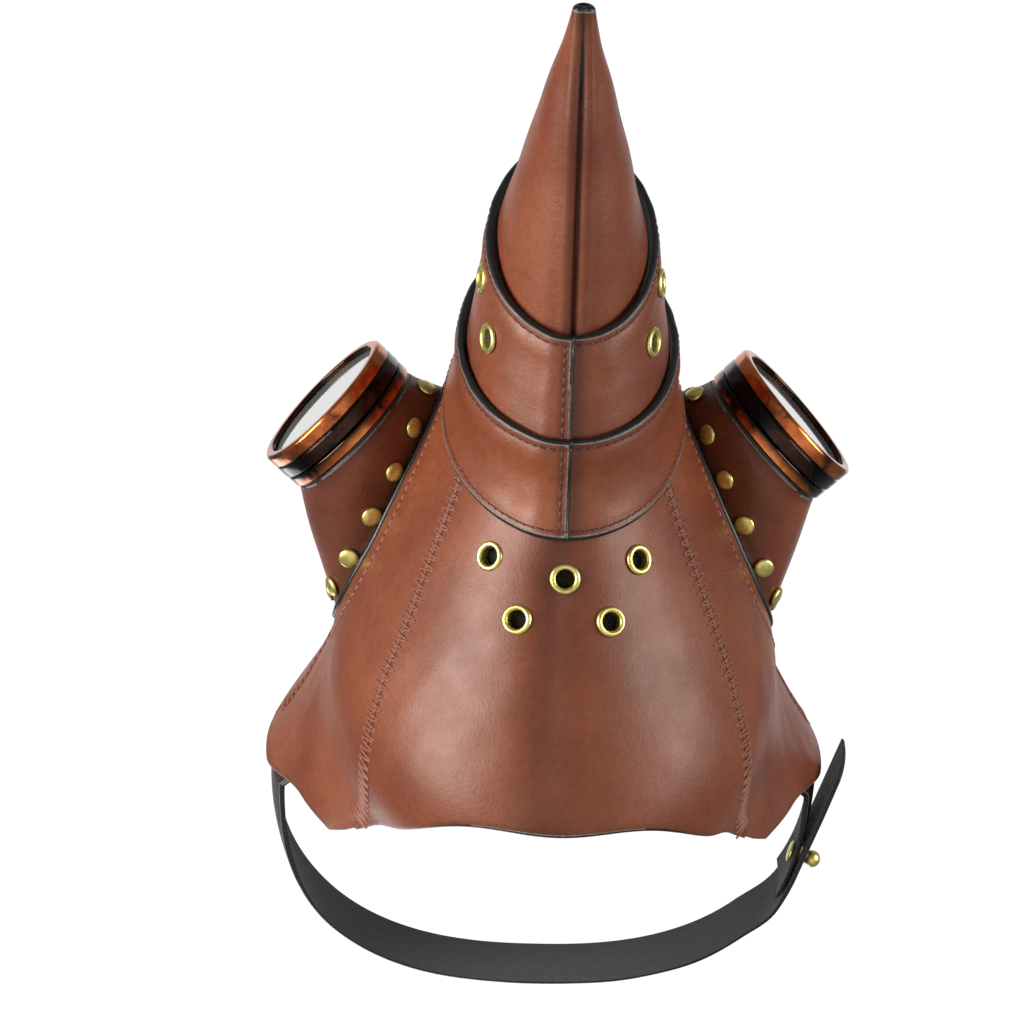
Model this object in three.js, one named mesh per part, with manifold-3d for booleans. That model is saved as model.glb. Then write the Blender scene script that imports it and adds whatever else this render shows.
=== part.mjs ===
// Plague doctor mask: leather head shell, two beak bands, beak tip, two goggles and a strap.
// Millimetres, +Z up, the wearer faces -Y. The origin is the centre of the wearer's head at eye level.
import * as THREE from "three";
import Module from "manifold-3d";

const wasm = await Module();
wasm.setup();

// Cross-sections of the mask, from the ears to the front rim of the front band.
// Each is an ellipse through its lowest and highest point, with a half width.
const EAR = { lowY: 23, lowZ: -70, highY: 9, highZ: 103, half: 100 };
const TEMPLE = { lowY: -5, lowZ: -110, highY: -45, highZ: 85, half: 79.5 };
const JAW = { lowY: -40, lowZ: -127, highY: -96, highZ: 64, half: 70.2 };
const THROAT = { lowY: -124, lowZ: -82, highY: -151, highZ: 40, half: 37 };
const COLLAR = { lowY: -158, lowZ: -75, highY: -183, highZ: 18, half: 30 };
const RIM = { lowY: -190.5, lowZ: -68.5, highY: -227, highZ: -1.5, half: 23.8 };
const STATIONS = [EAR, TEMPLE, JAW, THROAT, COLLAR, RIM].map(Object.values);
const AT_JAW = 2;
const AT_THROAT = 3;
const AT_COLLAR = 4;
const AT_RIM = 5;

// Leather
const LEATHER = 2;
const BAND_LEATHER = 2;
const GAP = 0.3;
const SEAM_GAP_DEG = 0.3;
const FACE_FRONT = AT_THROAT + 0.15;
const HEM_BROW = 1.95;
const HEM_CHIN_DEG = 53;
const HEM_EAR = 0.3;
const ZIGZAG_DEG = 60;
const ZIGZAG_REAR_DEG = 49;
const BROW_SEAM_DEG = 118;
const BROW_SEAM_REAR_DEG = 100;

// Beak
const REAR_BAND = { from: AT_THROAT, to: AT_COLLAR, liftFrom: 2.8, liftTo: 4.5 };
const FRONT_BAND = { from: AT_COLLAR - 0.16, to: AT_RIM, liftFrom: 1.2, liftTo: 1.9 };
const TIP = { x: -1.1, y: -298, z: -66, radius: 3.4, wall: 1.5, tuck: 0.04, lift: -1.5 };

// Eye opening in the head shell and the leather socket over it
const EYE = { at: 2.25, deg: 113.7, ahead: 0.6, behind: 0.92, halfDeg: 20 };
const FLANGE_OUT = 1.15;
const FLANGE_DROP = 0.8;
const FOOT_SCALE = 0.905;
const FOOT_LIFT = 2.4;
const RIVET_ROW_MM = 5.6;
const RIVET_LIFT = 0.42;
// How the socket curves up from its foot, at the front of the eye and at the rear of it.
const CURVE_AHEAD = { share: 0.35, bulge: -0.06, hang: 0.4 };
const CURVE_BEHIND = { share: 0.78, bulge: 0.1, hang: 0.05 };
const FLANGE_SHARE = 0.36;
const RIVETS_PER_EYE = 13;

// Goggle: depths are measured back from its front face along its axis
const GOGGLE_FRONT = new THREE.Vector3(81.9, -129.9, 5.7);
const GOGGLE_AXIS = new THREE.Vector3(0.727, -0.678, 0.109).normalize();
const RING_RADIUS = 27.6;
const RING_SIGHT_RADIUS = 24;
const RING_LIP = 1.6;
const RING_DEPTH = 10;
const THREAD_RADIUS = 25.7;
const LENS_RADIUS = 25.2;
const LENS_THICKNESS = 2.5;
const COLLAR_BORE = 23.2;
const BARREL_BORE = 19;
const SHOULDER_RADIUS = 27.4;
const SHOULDER_FRONT = 10.6;
const SHOULDER_BACK = 14.6;
const NECK_RADIUS = 20.6;
const NECK_BACK = 20.4;
const SOCKET_RADIUS = 26.8;
const NUT_RADIUS = 23;
const NUT_DEPTH = 2.2;

// Brass
const RIVET = { radius: 3.6, height: 1.9, shank: 1.4, foot: 2.2 };
const EYELET = { radius: 5, bore: 3, tube: 3.6, height: 1 };
const DRILL_LENGTH = 14;

// Cloth behind the breathing holes in the chin panel
const LINER = { from: 2.5, to: 2.98, deg: 42, low: -1.8, high: -1 };

// Strap
const STRAP_LOW_DEG = 73;
const STRAP_HIGH_DEG = 90;
const STRAP_DEPTH = 84;
const LOOP_POWER = 0.82;
const STRAIGHT_FROM = 0.72;
const STRAP_INSIDE = 0.22;
const STRAP_LIFT = -2.4;
const OVERLAP_LIFT = 2.4;
const HINGE_DEG = 45;
const HINGE_GAP_DEG = 0.2;
const RAMP_FROM_DEG = 44;
const RAMP_TO_DEG = 31;
const TAB_END_DEG = 27;
const STUD_DEG = 18;
const FREE_LENGTH = 44;
const SLOT = { back: 4, ahead: 7.5, half: 3.8 };
const STUD = { neck: 1.8, base: 3.4, ball: 3.2, reach: 8.6, bore: 1.2 };
const SCREW = { head: 4, radius: 0.95, depth: 1, drop: 0.6 };

const AXIS_Y = new THREE.Vector3(0, 1, 0);
const rad = THREE.MathUtils.degToRad;
const lerp = THREE.MathUtils.lerp;
const smooth = THREE.MathUtils.smoothstep;

function finish(color, roughness, metalness) {
  return new THREE.MeshStandardMaterial({ color, roughness, metalness, side: THREE.DoubleSide });
}

const LOOK = {
  leather: finish("#8a5642", 0.5, 0),
  darkLeather: finish("#6f3e2b", 0.5, 0),
  strap: finish("#2c211c", 0.6, 0),
  copper: finish("#8f5a36", 0.35, 0.9),
  brass: finish("#c9b268", 0.3, 1),
  enamel: finish("#171413", 0.3, 0.2),
  cloth: finish("#141414", 0.9, 0),
  glass: finish("#dfe3e2", 0.05, 0.9),
};

// ---- the head-and-beak surface ----

function section(at) {
  const i = Math.min(Math.max(Math.floor(at), 0), STATIONS.length - 2);
  const t = at - i;
  const b = STATIONS[i];
  const c = STATIONS[i + 1];
  const a = STATIONS[i - 1] ?? b.map((v, k) => 2 * v - c[k]);
  const d = STATIONS[i + 2] ?? c.map((v, k) => 2 * v - b[k]);
  return b.map((v, k) => {
    const inSlope = (c[k] - a[k]) / 2;
    const outSlope = (d[k] - v) / 2;
    const cubic = 2 * v - 2 * c[k] + inSlope + outSlope;
    const square = 3 * c[k] - 3 * v - 2 * inSlope - outSlope;
    return ((cubic * t + square) * t + inSlope) * t + v;
  });
}

function bareSkin(at, deg) {
  const [lowY, lowZ, highY, highZ, half] = section(at);
  const up = -Math.cos(rad(deg)) / 2;
  const y = (lowY + highY) / 2 + (highY - lowY) * up;
  const z = (lowZ + highZ) / 2 + (highZ - lowZ) * up;
  return new THREE.Vector3(half * Math.sin(rad(deg)), y, z);
}

// Outward normal of any surface place(a, b), given steps along a and b.
function normalOf(place, a, b, stepA, stepB) {
  const alongA = place(a + stepA, b).sub(place(a - stepA, b));
  const alongB = place(a, b + stepB).sub(place(a, b - stepB));
  return alongA.cross(alongB).normalize();
}

function skinNormal(at, deg) {
  return normalOf(bareSkin, at, deg, -0.001, 0.05);
}

function skin(at, deg, lift) {
  return bareSkin(at, deg).addScaledVector(skinNormal(at, deg), lift);
}

// Where the shell ends, at each angle round it: under the chin, at the ears and over the brow.
function hem(deg) {
  const a = Math.abs(deg);
  const chin = AT_JAW * Math.max(1 - (a / HEM_CHIN_DEG) ** 3.5, 0);
  const ear = HEM_EAR * (smooth(a, 35, 56) - smooth(a, 66, 84));
  return chin + ear + HEM_BROW * smooth(a, 92, 172);
}

function zigzagDeg(at) {
  return lerp(ZIGZAG_REAR_DEG, ZIGZAG_DEG, Math.min(Math.max((at - 0.5) / 1.7, 0), 1));
}

function browSeamDeg(at) {
  return lerp(BROW_SEAM_REAR_DEG, BROW_SEAM_DEG, smooth(at, 0.2, 1.8));
}

// ---- solids ----

// A sheet of leather between place(u, v, low) and place(u, v, high), u and v from 0 to 1.
function sheet(place, across, along, low, high, closed = false) {
  const columns = closed ? across : across + 1;
  const points = [];
  const faces = [];
  for (let i = 0; i < columns; i++) {
    for (let j = 0; j <= along; j++) {
      points.push(place(i / across, j / along, low), place(i / across, j / along, high));
    }
  }
  const id = (i, j, top) => 2 * ((i % columns) * (along + 1) + j) + top;
  const quad = (a, b, c, d) => faces.push(a, b, c, a, c, d);
  for (let i = 0; i < across; i++) {
    for (let j = 0; j < along; j++) {
      quad(id(i, j, 1), id(i + 1, j, 1), id(i + 1, j + 1, 1), id(i, j + 1, 1));
      quad(id(i, j, 0), id(i, j + 1, 0), id(i + 1, j + 1, 0), id(i + 1, j, 0));
    }
    quad(id(i, 0, 0), id(i + 1, 0, 0), id(i + 1, 0, 1), id(i, 0, 1));
    quad(id(i, along, 0), id(i, along, 1), id(i + 1, along, 1), id(i + 1, along, 0));
  }
  for (let j = 0; j < along && !closed; j++) {
    quad(id(0, j, 0), id(0, j, 1), id(0, j + 1, 1), id(0, j + 1, 0));
    quad(id(across, j, 0), id(across, j + 1, 0), id(across, j + 1, 1), id(across, j, 1));
  }
  return solid(points, faces);
}

function volume(points, faces) {
  let sum = 0;
  for (let i = 0; i < faces.length; i += 3) {
    const [a, b, c] = [0, 1, 2].map((k) => points[faces[i + k]]);
    sum += a.dot(new THREE.Vector3().crossVectors(b, c));
  }
  return sum;
}

function solid(points, faces) {
  const outward = volume(points, faces) > 0 ? faces : faces.toReversed();
  const vertProperties = new Float32Array(points.flatMap((p) => [p.x, p.y, p.z]));
  const triVerts = new Uint32Array(outward);
  return new wasm.Manifold(new wasm.Mesh({ numProp: 3, vertProperties, triVerts }));
}

// Turns a profile of [radius, height] corners about an axis through origin.
function turned(profile, segments, origin, axis) {
  const spin = new THREE.Quaternion().setFromUnitVectors(AXIS_Y, axis);
  const points = [];
  const faces = [];
  const rows = profile.map(([r, h]) => {
    const first = points.length;
    const count = r === 0 ? 1 : segments;
    for (let i = 0; i < count; i++) {
      const a = (2 * Math.PI * i) / segments;
      const corner = new THREE.Vector3(r * Math.sin(a), h, r * Math.cos(a));
      points.push(corner.applyQuaternion(spin).add(origin));
    }
    return (i) => first + (i % count);
  });
  const onAxis = (k) => profile[k][0] === 0;
  profile.forEach((_, k) => {
    const n = (k + 1) % profile.length;
    if (onAxis(k) && onAxis(n)) return;
    for (let i = 0; i < segments; i++) {
      if (!onAxis(k)) faces.push(rows[k](i), rows[k](i + 1), rows[n](i));
      if (!onAxis(n)) faces.push(rows[n](i), rows[k](i + 1), rows[n](i + 1));
    }
  });
  return solid(points, faces);
}

function drill(radius, origin, axis, segments = 12) {
  const reach = DRILL_LENGTH / 2;
  return turned([[0, -reach], [radius, -reach], [radius, reach], [0, reach]], segments, origin, axis);
}

function without(body, tools) {
  return tools.reduce((left, tool) => left.subtract(tool), body);
}

// ---- where the brass goes ----

function onSkin(at, deg, lift) {
  return { origin: skin(at, deg, lift), axis: skinNormal(at, deg) };
}

const CHIN_EYELETS = [[2.84, 0], [2.83, 33.5], [2.83, -33.5], [2.68, 18], [2.68, -18]]
  .map(([at, deg]) => onSkin(at, deg, LEATHER));
const BAND_EYELETS = [[4.48, 59], [4.48, -59], [4.74, 80], [4.74, -80]]
  .map(([at, deg]) => onSkin(at, deg, frontBandLift(at) + BAND_LEATHER));

function bandLift(band, at) {
  return lerp(band.liftFrom, band.liftTo, (at - band.from) / (band.to - band.from));
}

function frontBandLift(at) {
  return bandLift(FRONT_BAND, at);
}

// ---- beak ----

function band(spec) {
  const place = (u, v, lift) => {
    const at = lerp(spec.from, spec.to, v);
    return skin(at, 360 * u, bandLift(spec, at) + lift);
  };
  return sheet(place, 36, 2, 0, BAND_LEATHER, true);
}

function beakBandFront() {
  return without(band(FRONT_BAND), BAND_EYELETS.map((e) => drill(EYELET.tube + 0.2, e.origin, e.axis)));
}

function beakTip() {
  const place = (u, v, lift) => {
    const base = skin(AT_RIM, 360 * u, TIP.lift + lift * LEATHER);
    const radius = TIP.radius - (1 - lift) * TIP.wall;
    const x = TIP.x + radius * Math.sin(rad(360 * u));
    const z = TIP.z - radius * Math.cos(rad(360 * u));
    const reach = lerp(-TIP.tuck, 1, v);
    return base.lerp(new THREE.Vector3(x, TIP.y, z), reach);
  };
  return sheet(place, 24, 3, 0, 1, true);
}

// ---- head shell ----

function chinPanel() {
  const place = (u, v, lift) => {
    const side = 2 * u - 1;
    const at = lerp(hem(side * ZIGZAG_REAR_DEG), FACE_FRONT, v);
    return skin(at, side * (zigzagDeg(at) - SEAM_GAP_DEG), lift);
  };
  const holes = CHIN_EYELETS.map((e) => drill(EYELET.tube + 0.2, e.origin, e.axis));
  return without(sheet(place, 12, 8, 0, LEATHER), holes);
}

function breatherLiner() {
  const place = (u, v, lift) => skin(lerp(LINER.from, LINER.to, v), LINER.deg * (2 * u - 1), lift);
  return sheet(place, 10, 4, LINER.low, LINER.high);
}

// A prism on a ring of points, reaching both ways along an axis.
function prism(ring, axis, reach) {
  const count = ring.length;
  const centre = ring.reduce((sum, p) => sum.add(p), new THREE.Vector3()).divideScalar(count);
  const points = [...ring, centre].flatMap((p) =>
    [-reach, reach].map((shift) => p.clone().addScaledVector(axis, shift)));
  const faces = [];
  for (let i = 0; i < count; i++) {
    const a = 2 * i;
    const b = 2 * ((i + 1) % count);
    faces.push(a, b, b + 1, a, b + 1, a + 1, b, a, 2 * count, a + 1, b + 1, 2 * count + 1);
  }
  return solid(points, faces);
}

// The part of the head shell cut away for the eye, along the shell's normal.
function eyeCutter(side) {
  const count = 26;
  const ring = Array.from({ length: count }, (_, i) => eyeRim(side, (360 * i) / count, 1, 0));
  return prism(ring, eyeNormal(side), DRILL_LENGTH);
}

function eyeRim(side, turn, scale, lift) {
  const ahead = Math.cos(rad(turn));
  const at = EYE.at + scale * ahead * (ahead > 0 ? EYE.ahead : EYE.behind);
  const deg = EYE.deg + scale * EYE.halfDeg * Math.sin(rad(turn));
  return skin(at, side * deg, lift);
}

function eyeNormal(side) {
  return skinNormal(EYE.at, side * EYE.deg);
}

function cheekPanel(side) {
  const place = (u, v, lift) => {
    const at = lerp(hem(lerp(ZIGZAG_REAR_DEG, BROW_SEAM_REAR_DEG, u)), FACE_FRONT, v);
    const low = zigzagDeg(at) + SEAM_GAP_DEG;
    const high = browSeamDeg(at) - SEAM_GAP_DEG;
    return skin(at, side * lerp(low, high, u), lift);
  };
  return sheet(place, 8, 10, 0, LEATHER).subtract(eyeCutter(side));
}

function browPanel() {
  const place = (u, v, lift) => {
    const turn = lerp(BROW_SEAM_REAR_DEG, 360 - BROW_SEAM_REAR_DEG, u);
    const at = lerp(hem(Math.min(turn, 360 - turn)), FACE_FRONT, v);
    const low = browSeamDeg(at) + SEAM_GAP_DEG;
    return skin(at, lerp(low, 360 - low, u), lift);
  };
  return without(sheet(place, 18, 9, 0, LEATHER), [eyeCutter(1), eyeCutter(-1)]);
}

// ---- eye sockets ----

function mirrored(v, side) {
  return new THREE.Vector3(side * v.x, v.y, v.z);
}

function goggleAxis(side) {
  return mirrored(GOGGLE_AXIS, side);
}

function goggleAt(side, depth) {
  return mirrored(GOGGLE_FRONT, side).addScaledVector(goggleAxis(side), -depth);
}

function mouthPoint(side, turn, radius, depth) {
  const forward = new THREE.Vector3(side * GOGGLE_AXIS.y, -GOGGLE_AXIS.x, 0).normalize();
  const up = new THREE.Vector3().crossVectors(forward, goggleAxis(side)).multiplyScalar(side);
  return goggleAt(side, depth)
    .addScaledVector(forward, radius * Math.cos(rad(turn)))
    .addScaledVector(up, radius * Math.sin(rad(turn)));
}

// Outer face of the socket: v runs from under the head shell, up past its edge, to the goggle.
function socketFace(side, turn, v) {
  if (v <= FLANGE_SHARE) {
    const k = v / FLANGE_SHARE;
    const lift = lerp(-FLANGE_DROP, FOOT_LIFT, smooth(k, 0.68, 1));
    return eyeRim(side, turn, lerp(FLANGE_OUT, FOOT_SCALE, k), lift);
  }
  const foot = eyeRim(side, turn, FOOT_SCALE, FOOT_LIFT);
  const mouth = mouthPoint(side, turn, SOCKET_RADIUS, SHOULDER_BACK + GAP);
  const reach = foot.distanceTo(mouth);
  const blend = (key) => lerp(CURVE_AHEAD[key], CURVE_BEHIND[key], (1 - Math.cos(rad(turn))) / 2);
  const rise = foot.clone().lerp(mouth, blend("share"))
    .addScaledVector(eyeNormal(side), blend("bulge") * reach);
  const hang = mouth.clone().addScaledVector(goggleAxis(side), -blend("hang") * reach);
  const curve = new THREE.CubicBezierCurve3(foot, rise, hang, mouth);
  return curve.getPoint((v - FLANGE_SHARE) / (1 - FLANGE_SHARE));
}

function socketNormal(side, turn, v) {
  const face = (a, b) => socketFace(side, a, Math.min(Math.max(b, 0), 1));
  return normalOf(face, turn, v, -side * 0.5, 0.01);
}

// Angle about the eye at which the given share of the rim's length has passed, from the front.
function evenTurn(share) {
  const steps = 180;
  const points = Array.from({ length: steps + 1 }, (_, i) => eyeRim(1, (360 * i) / steps, FOOT_SCALE, 0));
  const lengths = points.slice(1).map((p, i) => p.distanceTo(points[i]));
  const wanted = share * lengths.reduce((a, b) => a + b, 0);
  let passed = 0;
  let i = 0;
  while (passed + lengths[i] <= wanted) {
    passed += lengths[i];
    i += 1;
  }
  return (360 * (i + (wanted - passed) / lengths[i])) / steps;
}

function rivetSeats(side) {
  return Array.from({ length: RIVETS_PER_EYE }, (_, i) => {
    const turn = evenTurn(i / RIVETS_PER_EYE);
    const foot = socketFace(side, turn, FLANGE_SHARE);
    let v = FLANGE_SHARE;
    while (socketFace(side, turn, v).distanceTo(foot) < RIVET_ROW_MM) v += 0.005;
    const axis = socketNormal(side, turn, v);
    return { origin: socketFace(side, turn, v).addScaledVector(axis, RIVET_LIFT), axis };
  });
}

function eyeSocket(side) {
  const place = (u, v, lift) => {
    const normal = socketNormal(side, 360 * u, v);
    return socketFace(side, 360 * u, v).addScaledVector(normal, lift);
  };
  const shell = sheet(place, 26, 8, -LEATHER, 0, true);
  const inner = NECK_RADIUS + GAP;
  const outer = SOCKET_RADIUS - 0.6;
  const back = -LEATHER;
  const seat = goggleAt(side, SHOULDER_BACK + GAP);
  const lip = turned([[inner, back], [outer, back], [outer, 0], [inner, 0]], 26, seat, goggleAxis(side));
  const holes = rivetSeats(side).map((r) => drill(RIVET.shank + 0.3, r.origin, r.axis, 6));
  return without(shell.add(lip), holes);
}

// ---- goggles ----

function ringPart(profile, side, segments = 32) {
  return turned(profile.map(([r, depth]) => [r, -depth]), segments, goggleAt(side, 0), goggleAxis(side));
}

const LENS_FRONT = RING_LIP + GAP;
const LENS_BACK = LENS_FRONT + LENS_THICKNESS;
const COLLAR_FRONT = LENS_BACK + GAP;
const COLLAR_BACK = SHOULDER_FRONT - GAP;

function lensRing(side) {
  const bore = THREAD_RADIUS + GAP;
  return ringPart([
    [RING_SIGHT_RADIUS, 0.5], [RING_SIGHT_RADIUS + 0.5, 0], [RING_RADIUS - 0.8, 0], [RING_RADIUS, 0.8],
    [RING_RADIUS, RING_DEPTH], [bore, RING_DEPTH], [bore, RING_LIP], [RING_SIGHT_RADIUS, RING_LIP],
  ], side);
}

function lens(side) {
  const radius = LENS_RADIUS;
  return ringPart([[0, LENS_FRONT], [radius, LENS_FRONT], [radius, LENS_BACK], [0, LENS_BACK]], side);
}

// A flat ring with a square section.
function washer(side, bore, radius, front, back, segments) {
  return ringPart([[bore, front], [radius, front], [radius, back], [bore, back]], side, segments);
}

// The sleeve that the ring screws on to.
function threadedCollar(side) {
  return washer(side, COLLAR_BORE, THREAD_RADIUS, COLLAR_FRONT, COLLAR_BACK, 32);
}

function goggleBarrel(side) {
  return ringPart([
    [COLLAR_BORE, SHOULDER_FRONT], [SHOULDER_RADIUS - 0.5, SHOULDER_FRONT],
    [SHOULDER_RADIUS, SHOULDER_FRONT + 0.5], [SHOULDER_RADIUS, SHOULDER_BACK],
    [NECK_RADIUS, SHOULDER_BACK], [NECK_RADIUS, NECK_BACK], [BARREL_BORE, NECK_BACK],
    [BARREL_BORE, SHOULDER_FRONT + 2],
  ], side);
}

function barrelNut(side) {
  const front = SHOULDER_BACK + GAP + LEATHER + GAP;
  return washer(side, NECK_RADIUS + GAP, NUT_RADIUS, front, front + NUT_DEPTH, 24);
}

// ---- brass ----

function rivet(seat) {
  const { radius, height, shank, foot } = RIVET;
  return turned([
    [0, height], [0.65 * radius, 0.75 * height], [radius, 0.15], [shank, 0.15],
    [shank, -LEATHER - 1.2], [foot, -LEATHER - 1.2], [0, -LEATHER - 1.9],
  ], 8, seat.origin, seat.axis);
}

function eyelet(seat, leather) {
  const { radius, bore, tube, height } = EYELET;
  return turned([
    [bore, 0.7 * height], [bore + 0.6, height], [radius - 0.7, 0.8 * height], [radius, 0.1], [tube, 0.1],
    [tube, -leather - 0.6], [bore, -leather - 0.6],
  ], 12, seat.origin, seat.axis);
}

// ---- strap ----

// The strap's loop: turn 0 is the wearer's left corner, 180 the right one, round the back.
function bareLoop(turn, v) {
  const corner = skin(0, lerp(STRAP_LOW_DEG, STRAP_HIGH_DEG, v), STRAP_LIFT);
  const middle = skin(0, (STRAP_LOW_DEG + STRAP_HIGH_DEG) / 2, STRAP_LIFT);
  const across = Math.cos(rad(turn));
  const back = Math.sin(rad(turn));
  const lean = smooth(Math.abs(across), STRAIGHT_FROM, 1);
  const x = lerp(middle.x, corner.x, lean) * Math.sign(across) * Math.abs(across) ** LOOP_POWER;
  const y = lerp(middle.y, corner.y, lean) + STRAP_DEPTH * Math.sign(back) * Math.abs(back) ** LOOP_POWER;
  return new THREE.Vector3(x, y, corner.z);
}

function loopNormal(turn, v = 0.5) {
  return normalOf(bareLoop, turn, v, 0.05, 0.01);
}

function loop(turn, v, lift) {
  return bareLoop(turn, v).addScaledVector(loopNormal(turn, v), lift);
}

// The strap's end sewn inside a cheek panel, u from 0 at its front to 1 at the corner.
function tuckedStrap(side, u, v, lift) {
  const deg = lerp(STRAP_LOW_DEG, STRAP_HIGH_DEG, v);
  return skin(STRAP_INSIDE * (1 - u), side * deg, STRAP_LIFT + lift);
}

function sewnStrap(side, endDeg, steps) {
  const tucked = 2;
  const place = (u, v, lift) => {
    const i = u * (tucked + steps);
    if (i < tucked) return tuckedStrap(side, i / tucked, v, lift);
    const turn = (endDeg * (i - tucked)) / steps;
    return mirrored(loop(turn, v, lift), side);
  };
  return sheet(place, tucked + steps, 2, 0, LEATHER);
}

function studSeat(lift) {
  return { origin: loop(STUD_DEG, 0.5, lift), axis: loopNormal(STUD_DEG) };
}

function strapTab() {
  const seat = studSeat(0);
  return without(sewnStrap(1, TAB_END_DEG, 4), [drill(STUD.bore, seat.origin, seat.axis)]);
}

function strapBand() {
  return sewnStrap(-1, 180 - HINGE_DEG - HINGE_GAP_DEG, 18);
}

function strapEnd() {
  const steps = 8;
  const straight = 2;
  const place = (u, v, lift) => {
    const i = u * (steps + straight);
    const turn = lerp(HINGE_DEG - HINGE_GAP_DEG, STUD_DEG, Math.min(i / steps, 1));
    const raise = OVERLAP_LIFT * smooth(-turn, -RAMP_FROM_DEG, -RAMP_TO_DEG);
    const ahead = (FREE_LENGTH * Math.max(i - steps, 0)) / straight;
    return loop(turn, v, raise + lift).addScaledVector(strapForward(), ahead);
  };
  return without(sheet(place, steps + straight, 2, 0, LEATHER), [slotCutter()]);
}

function strapForward() {
  const out = loopNormal(STUD_DEG);
  return new THREE.Vector3(out.y, -out.x, 0);
}

// A long hole with round ends, so that the ball passes and the neck holds.
function slotCutter() {
  const { origin, axis } = studSeat(OVERLAP_LIFT);
  const forward = strapForward();
  const across = new THREE.Vector3().crossVectors(axis, forward);
  const count = 24;
  const ring = Array.from({ length: count }, (_, i) => {
    const turn = (2 * Math.PI * (i + 0.5)) / count;
    const middle = Math.cos(turn) > 0 ? SLOT.ahead - SLOT.half : SLOT.half - SLOT.back;
    return origin.clone()
      .addScaledVector(forward, middle + SLOT.half * Math.cos(turn))
      .addScaledVector(across, SLOT.half * Math.sin(turn));
  });
  return prism(ring, axis, DRILL_LENGTH / 2);
}

function ballStud() {
  const { neck, base, ball, reach, bore } = STUD;
  const seat = studSeat(LEATHER);
  const centre = reach - ball;
  const dome = [60, 30, 0, -30, -55].map((a) => [ball * Math.cos(rad(a)), centre + ball * Math.sin(rad(a))]);
  return turned([
    [0, reach], ...dome, [neck, centre - ball + 0.3], [neck, 1.2], [base, 0.9], [base, 0.1],
    [bore, 0.1], [bore, 3], [0, 3],
  ], 20, seat.origin, seat.axis);
}

function studScrew() {
  const { head, radius, depth, drop } = SCREW;
  const seat = studSeat(0);
  const tip = LEATHER + 2.6;
  return turned([
    [0, tip], [radius, tip], [radius, -drop], [head, -drop], [head, -drop - depth * 0.6],
    [head - 1, -drop - depth], [0, -drop - depth],
  ], 16, seat.origin, seat.axis);
}

// ---- assembly ----

function geometryOf(body) {
  const mesh = body.getMesh();
  const geometry = new THREE.BufferGeometry();
  geometry.setAttribute("position", new THREE.BufferAttribute(Float32Array.from(mesh.vertProperties), 3));
  geometry.setIndex(new THREE.BufferAttribute(mesh.triVerts, 1));
  geometry.computeVertexNormals();
  return geometry;
}

const mask = new THREE.Group();
mask.name = "plague_doctor_mask";

function put(name, body, look) {
  const mesh = new THREE.Mesh(geometryOf(body), look);
  mesh.name = name;
  mask.add(mesh);
}

put("beak_tip", beakTip(), LOOK.leather);
put("beak_band_front", beakBandFront(), LOOK.leather);
put("beak_band_rear", band(REAR_BAND), LOOK.leather);
put("chin_panel", chinPanel(), LOOK.leather);
put("breather_liner", breatherLiner(), LOOK.cloth);
put("brow_panel", browPanel(), LOOK.leather);
put("strap_tab", strapTab(), LOOK.strap);
put("strap_band", strapBand(), LOOK.strap);
put("strap_end", strapEnd(), LOOK.strap);
put("ball_stud", ballStud(), LOOK.brass);
put("stud_screw", studScrew(), LOOK.brass);

for (const [word, side] of [["left", 1], ["right", -1]]) {
  put("cheek_panel_" + word, cheekPanel(side), LOOK.leather);
  put("eye_socket_" + word, eyeSocket(side), LOOK.darkLeather);
  put("goggle_barrel_" + word, goggleBarrel(side), LOOK.copper);
  put("barrel_nut_" + word, barrelNut(side), LOOK.copper);
  put("threaded_collar_" + word, threadedCollar(side), LOOK.enamel);
  put("lens_" + word, lens(side), LOOK.glass);
  put("lens_ring_" + word, lensRing(side), LOOK.copper);
  rivetSeats(side).forEach((seat, i) => put("rivet_" + word + "_" + (i + 1), rivet(seat), LOOK.brass));
}
CHIN_EYELETS.forEach((seat, i) => put("chin_eyelet_" + (i + 1), eyelet(seat, LEATHER), LOOK.brass));
BAND_EYELETS.forEach((seat, i) => put("band_eyelet_" + (i + 1), eyelet(seat, BAND_LEATHER), LOOK.brass));

export default mask;
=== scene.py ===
import math

import bpy
import numpy as np
from mathutils import Matrix, Vector


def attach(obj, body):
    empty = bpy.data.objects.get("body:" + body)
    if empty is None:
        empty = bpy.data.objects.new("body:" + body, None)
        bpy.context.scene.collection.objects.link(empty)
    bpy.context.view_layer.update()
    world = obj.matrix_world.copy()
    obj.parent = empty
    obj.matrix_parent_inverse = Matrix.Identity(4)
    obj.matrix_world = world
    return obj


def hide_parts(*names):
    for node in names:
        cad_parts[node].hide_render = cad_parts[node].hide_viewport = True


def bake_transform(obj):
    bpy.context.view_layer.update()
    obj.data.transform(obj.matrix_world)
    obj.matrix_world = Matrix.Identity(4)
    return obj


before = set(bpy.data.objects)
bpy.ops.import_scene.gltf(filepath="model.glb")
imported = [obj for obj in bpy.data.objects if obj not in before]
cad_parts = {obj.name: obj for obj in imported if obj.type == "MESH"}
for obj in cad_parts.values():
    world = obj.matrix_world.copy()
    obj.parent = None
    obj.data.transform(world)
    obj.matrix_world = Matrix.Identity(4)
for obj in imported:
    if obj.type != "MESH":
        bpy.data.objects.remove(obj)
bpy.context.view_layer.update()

MM = 0.001
SIDES = (("left", 1), ("right", -1))

# Cross-sections of the mask from the ears to the front rim of the front band:
# low Y, low Z, high Y, high Z and half width.
SECTIONS = np.array([
    (23, -70, 9, 103, 100),
    (-5, -110, -45, 85, 79.5),
    (-40, -127, -96, 64, 70.2),
    (-124, -82, -151, 40, 37),
    (-158, -75, -183, 18, 30),
    (-190.5, -68.5, -227, -1.5, 23.8),
], float)
AT_JAW, AT_THROAT, AT_COLLAR, AT_RIM = 2, 3, 4, 5

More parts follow.
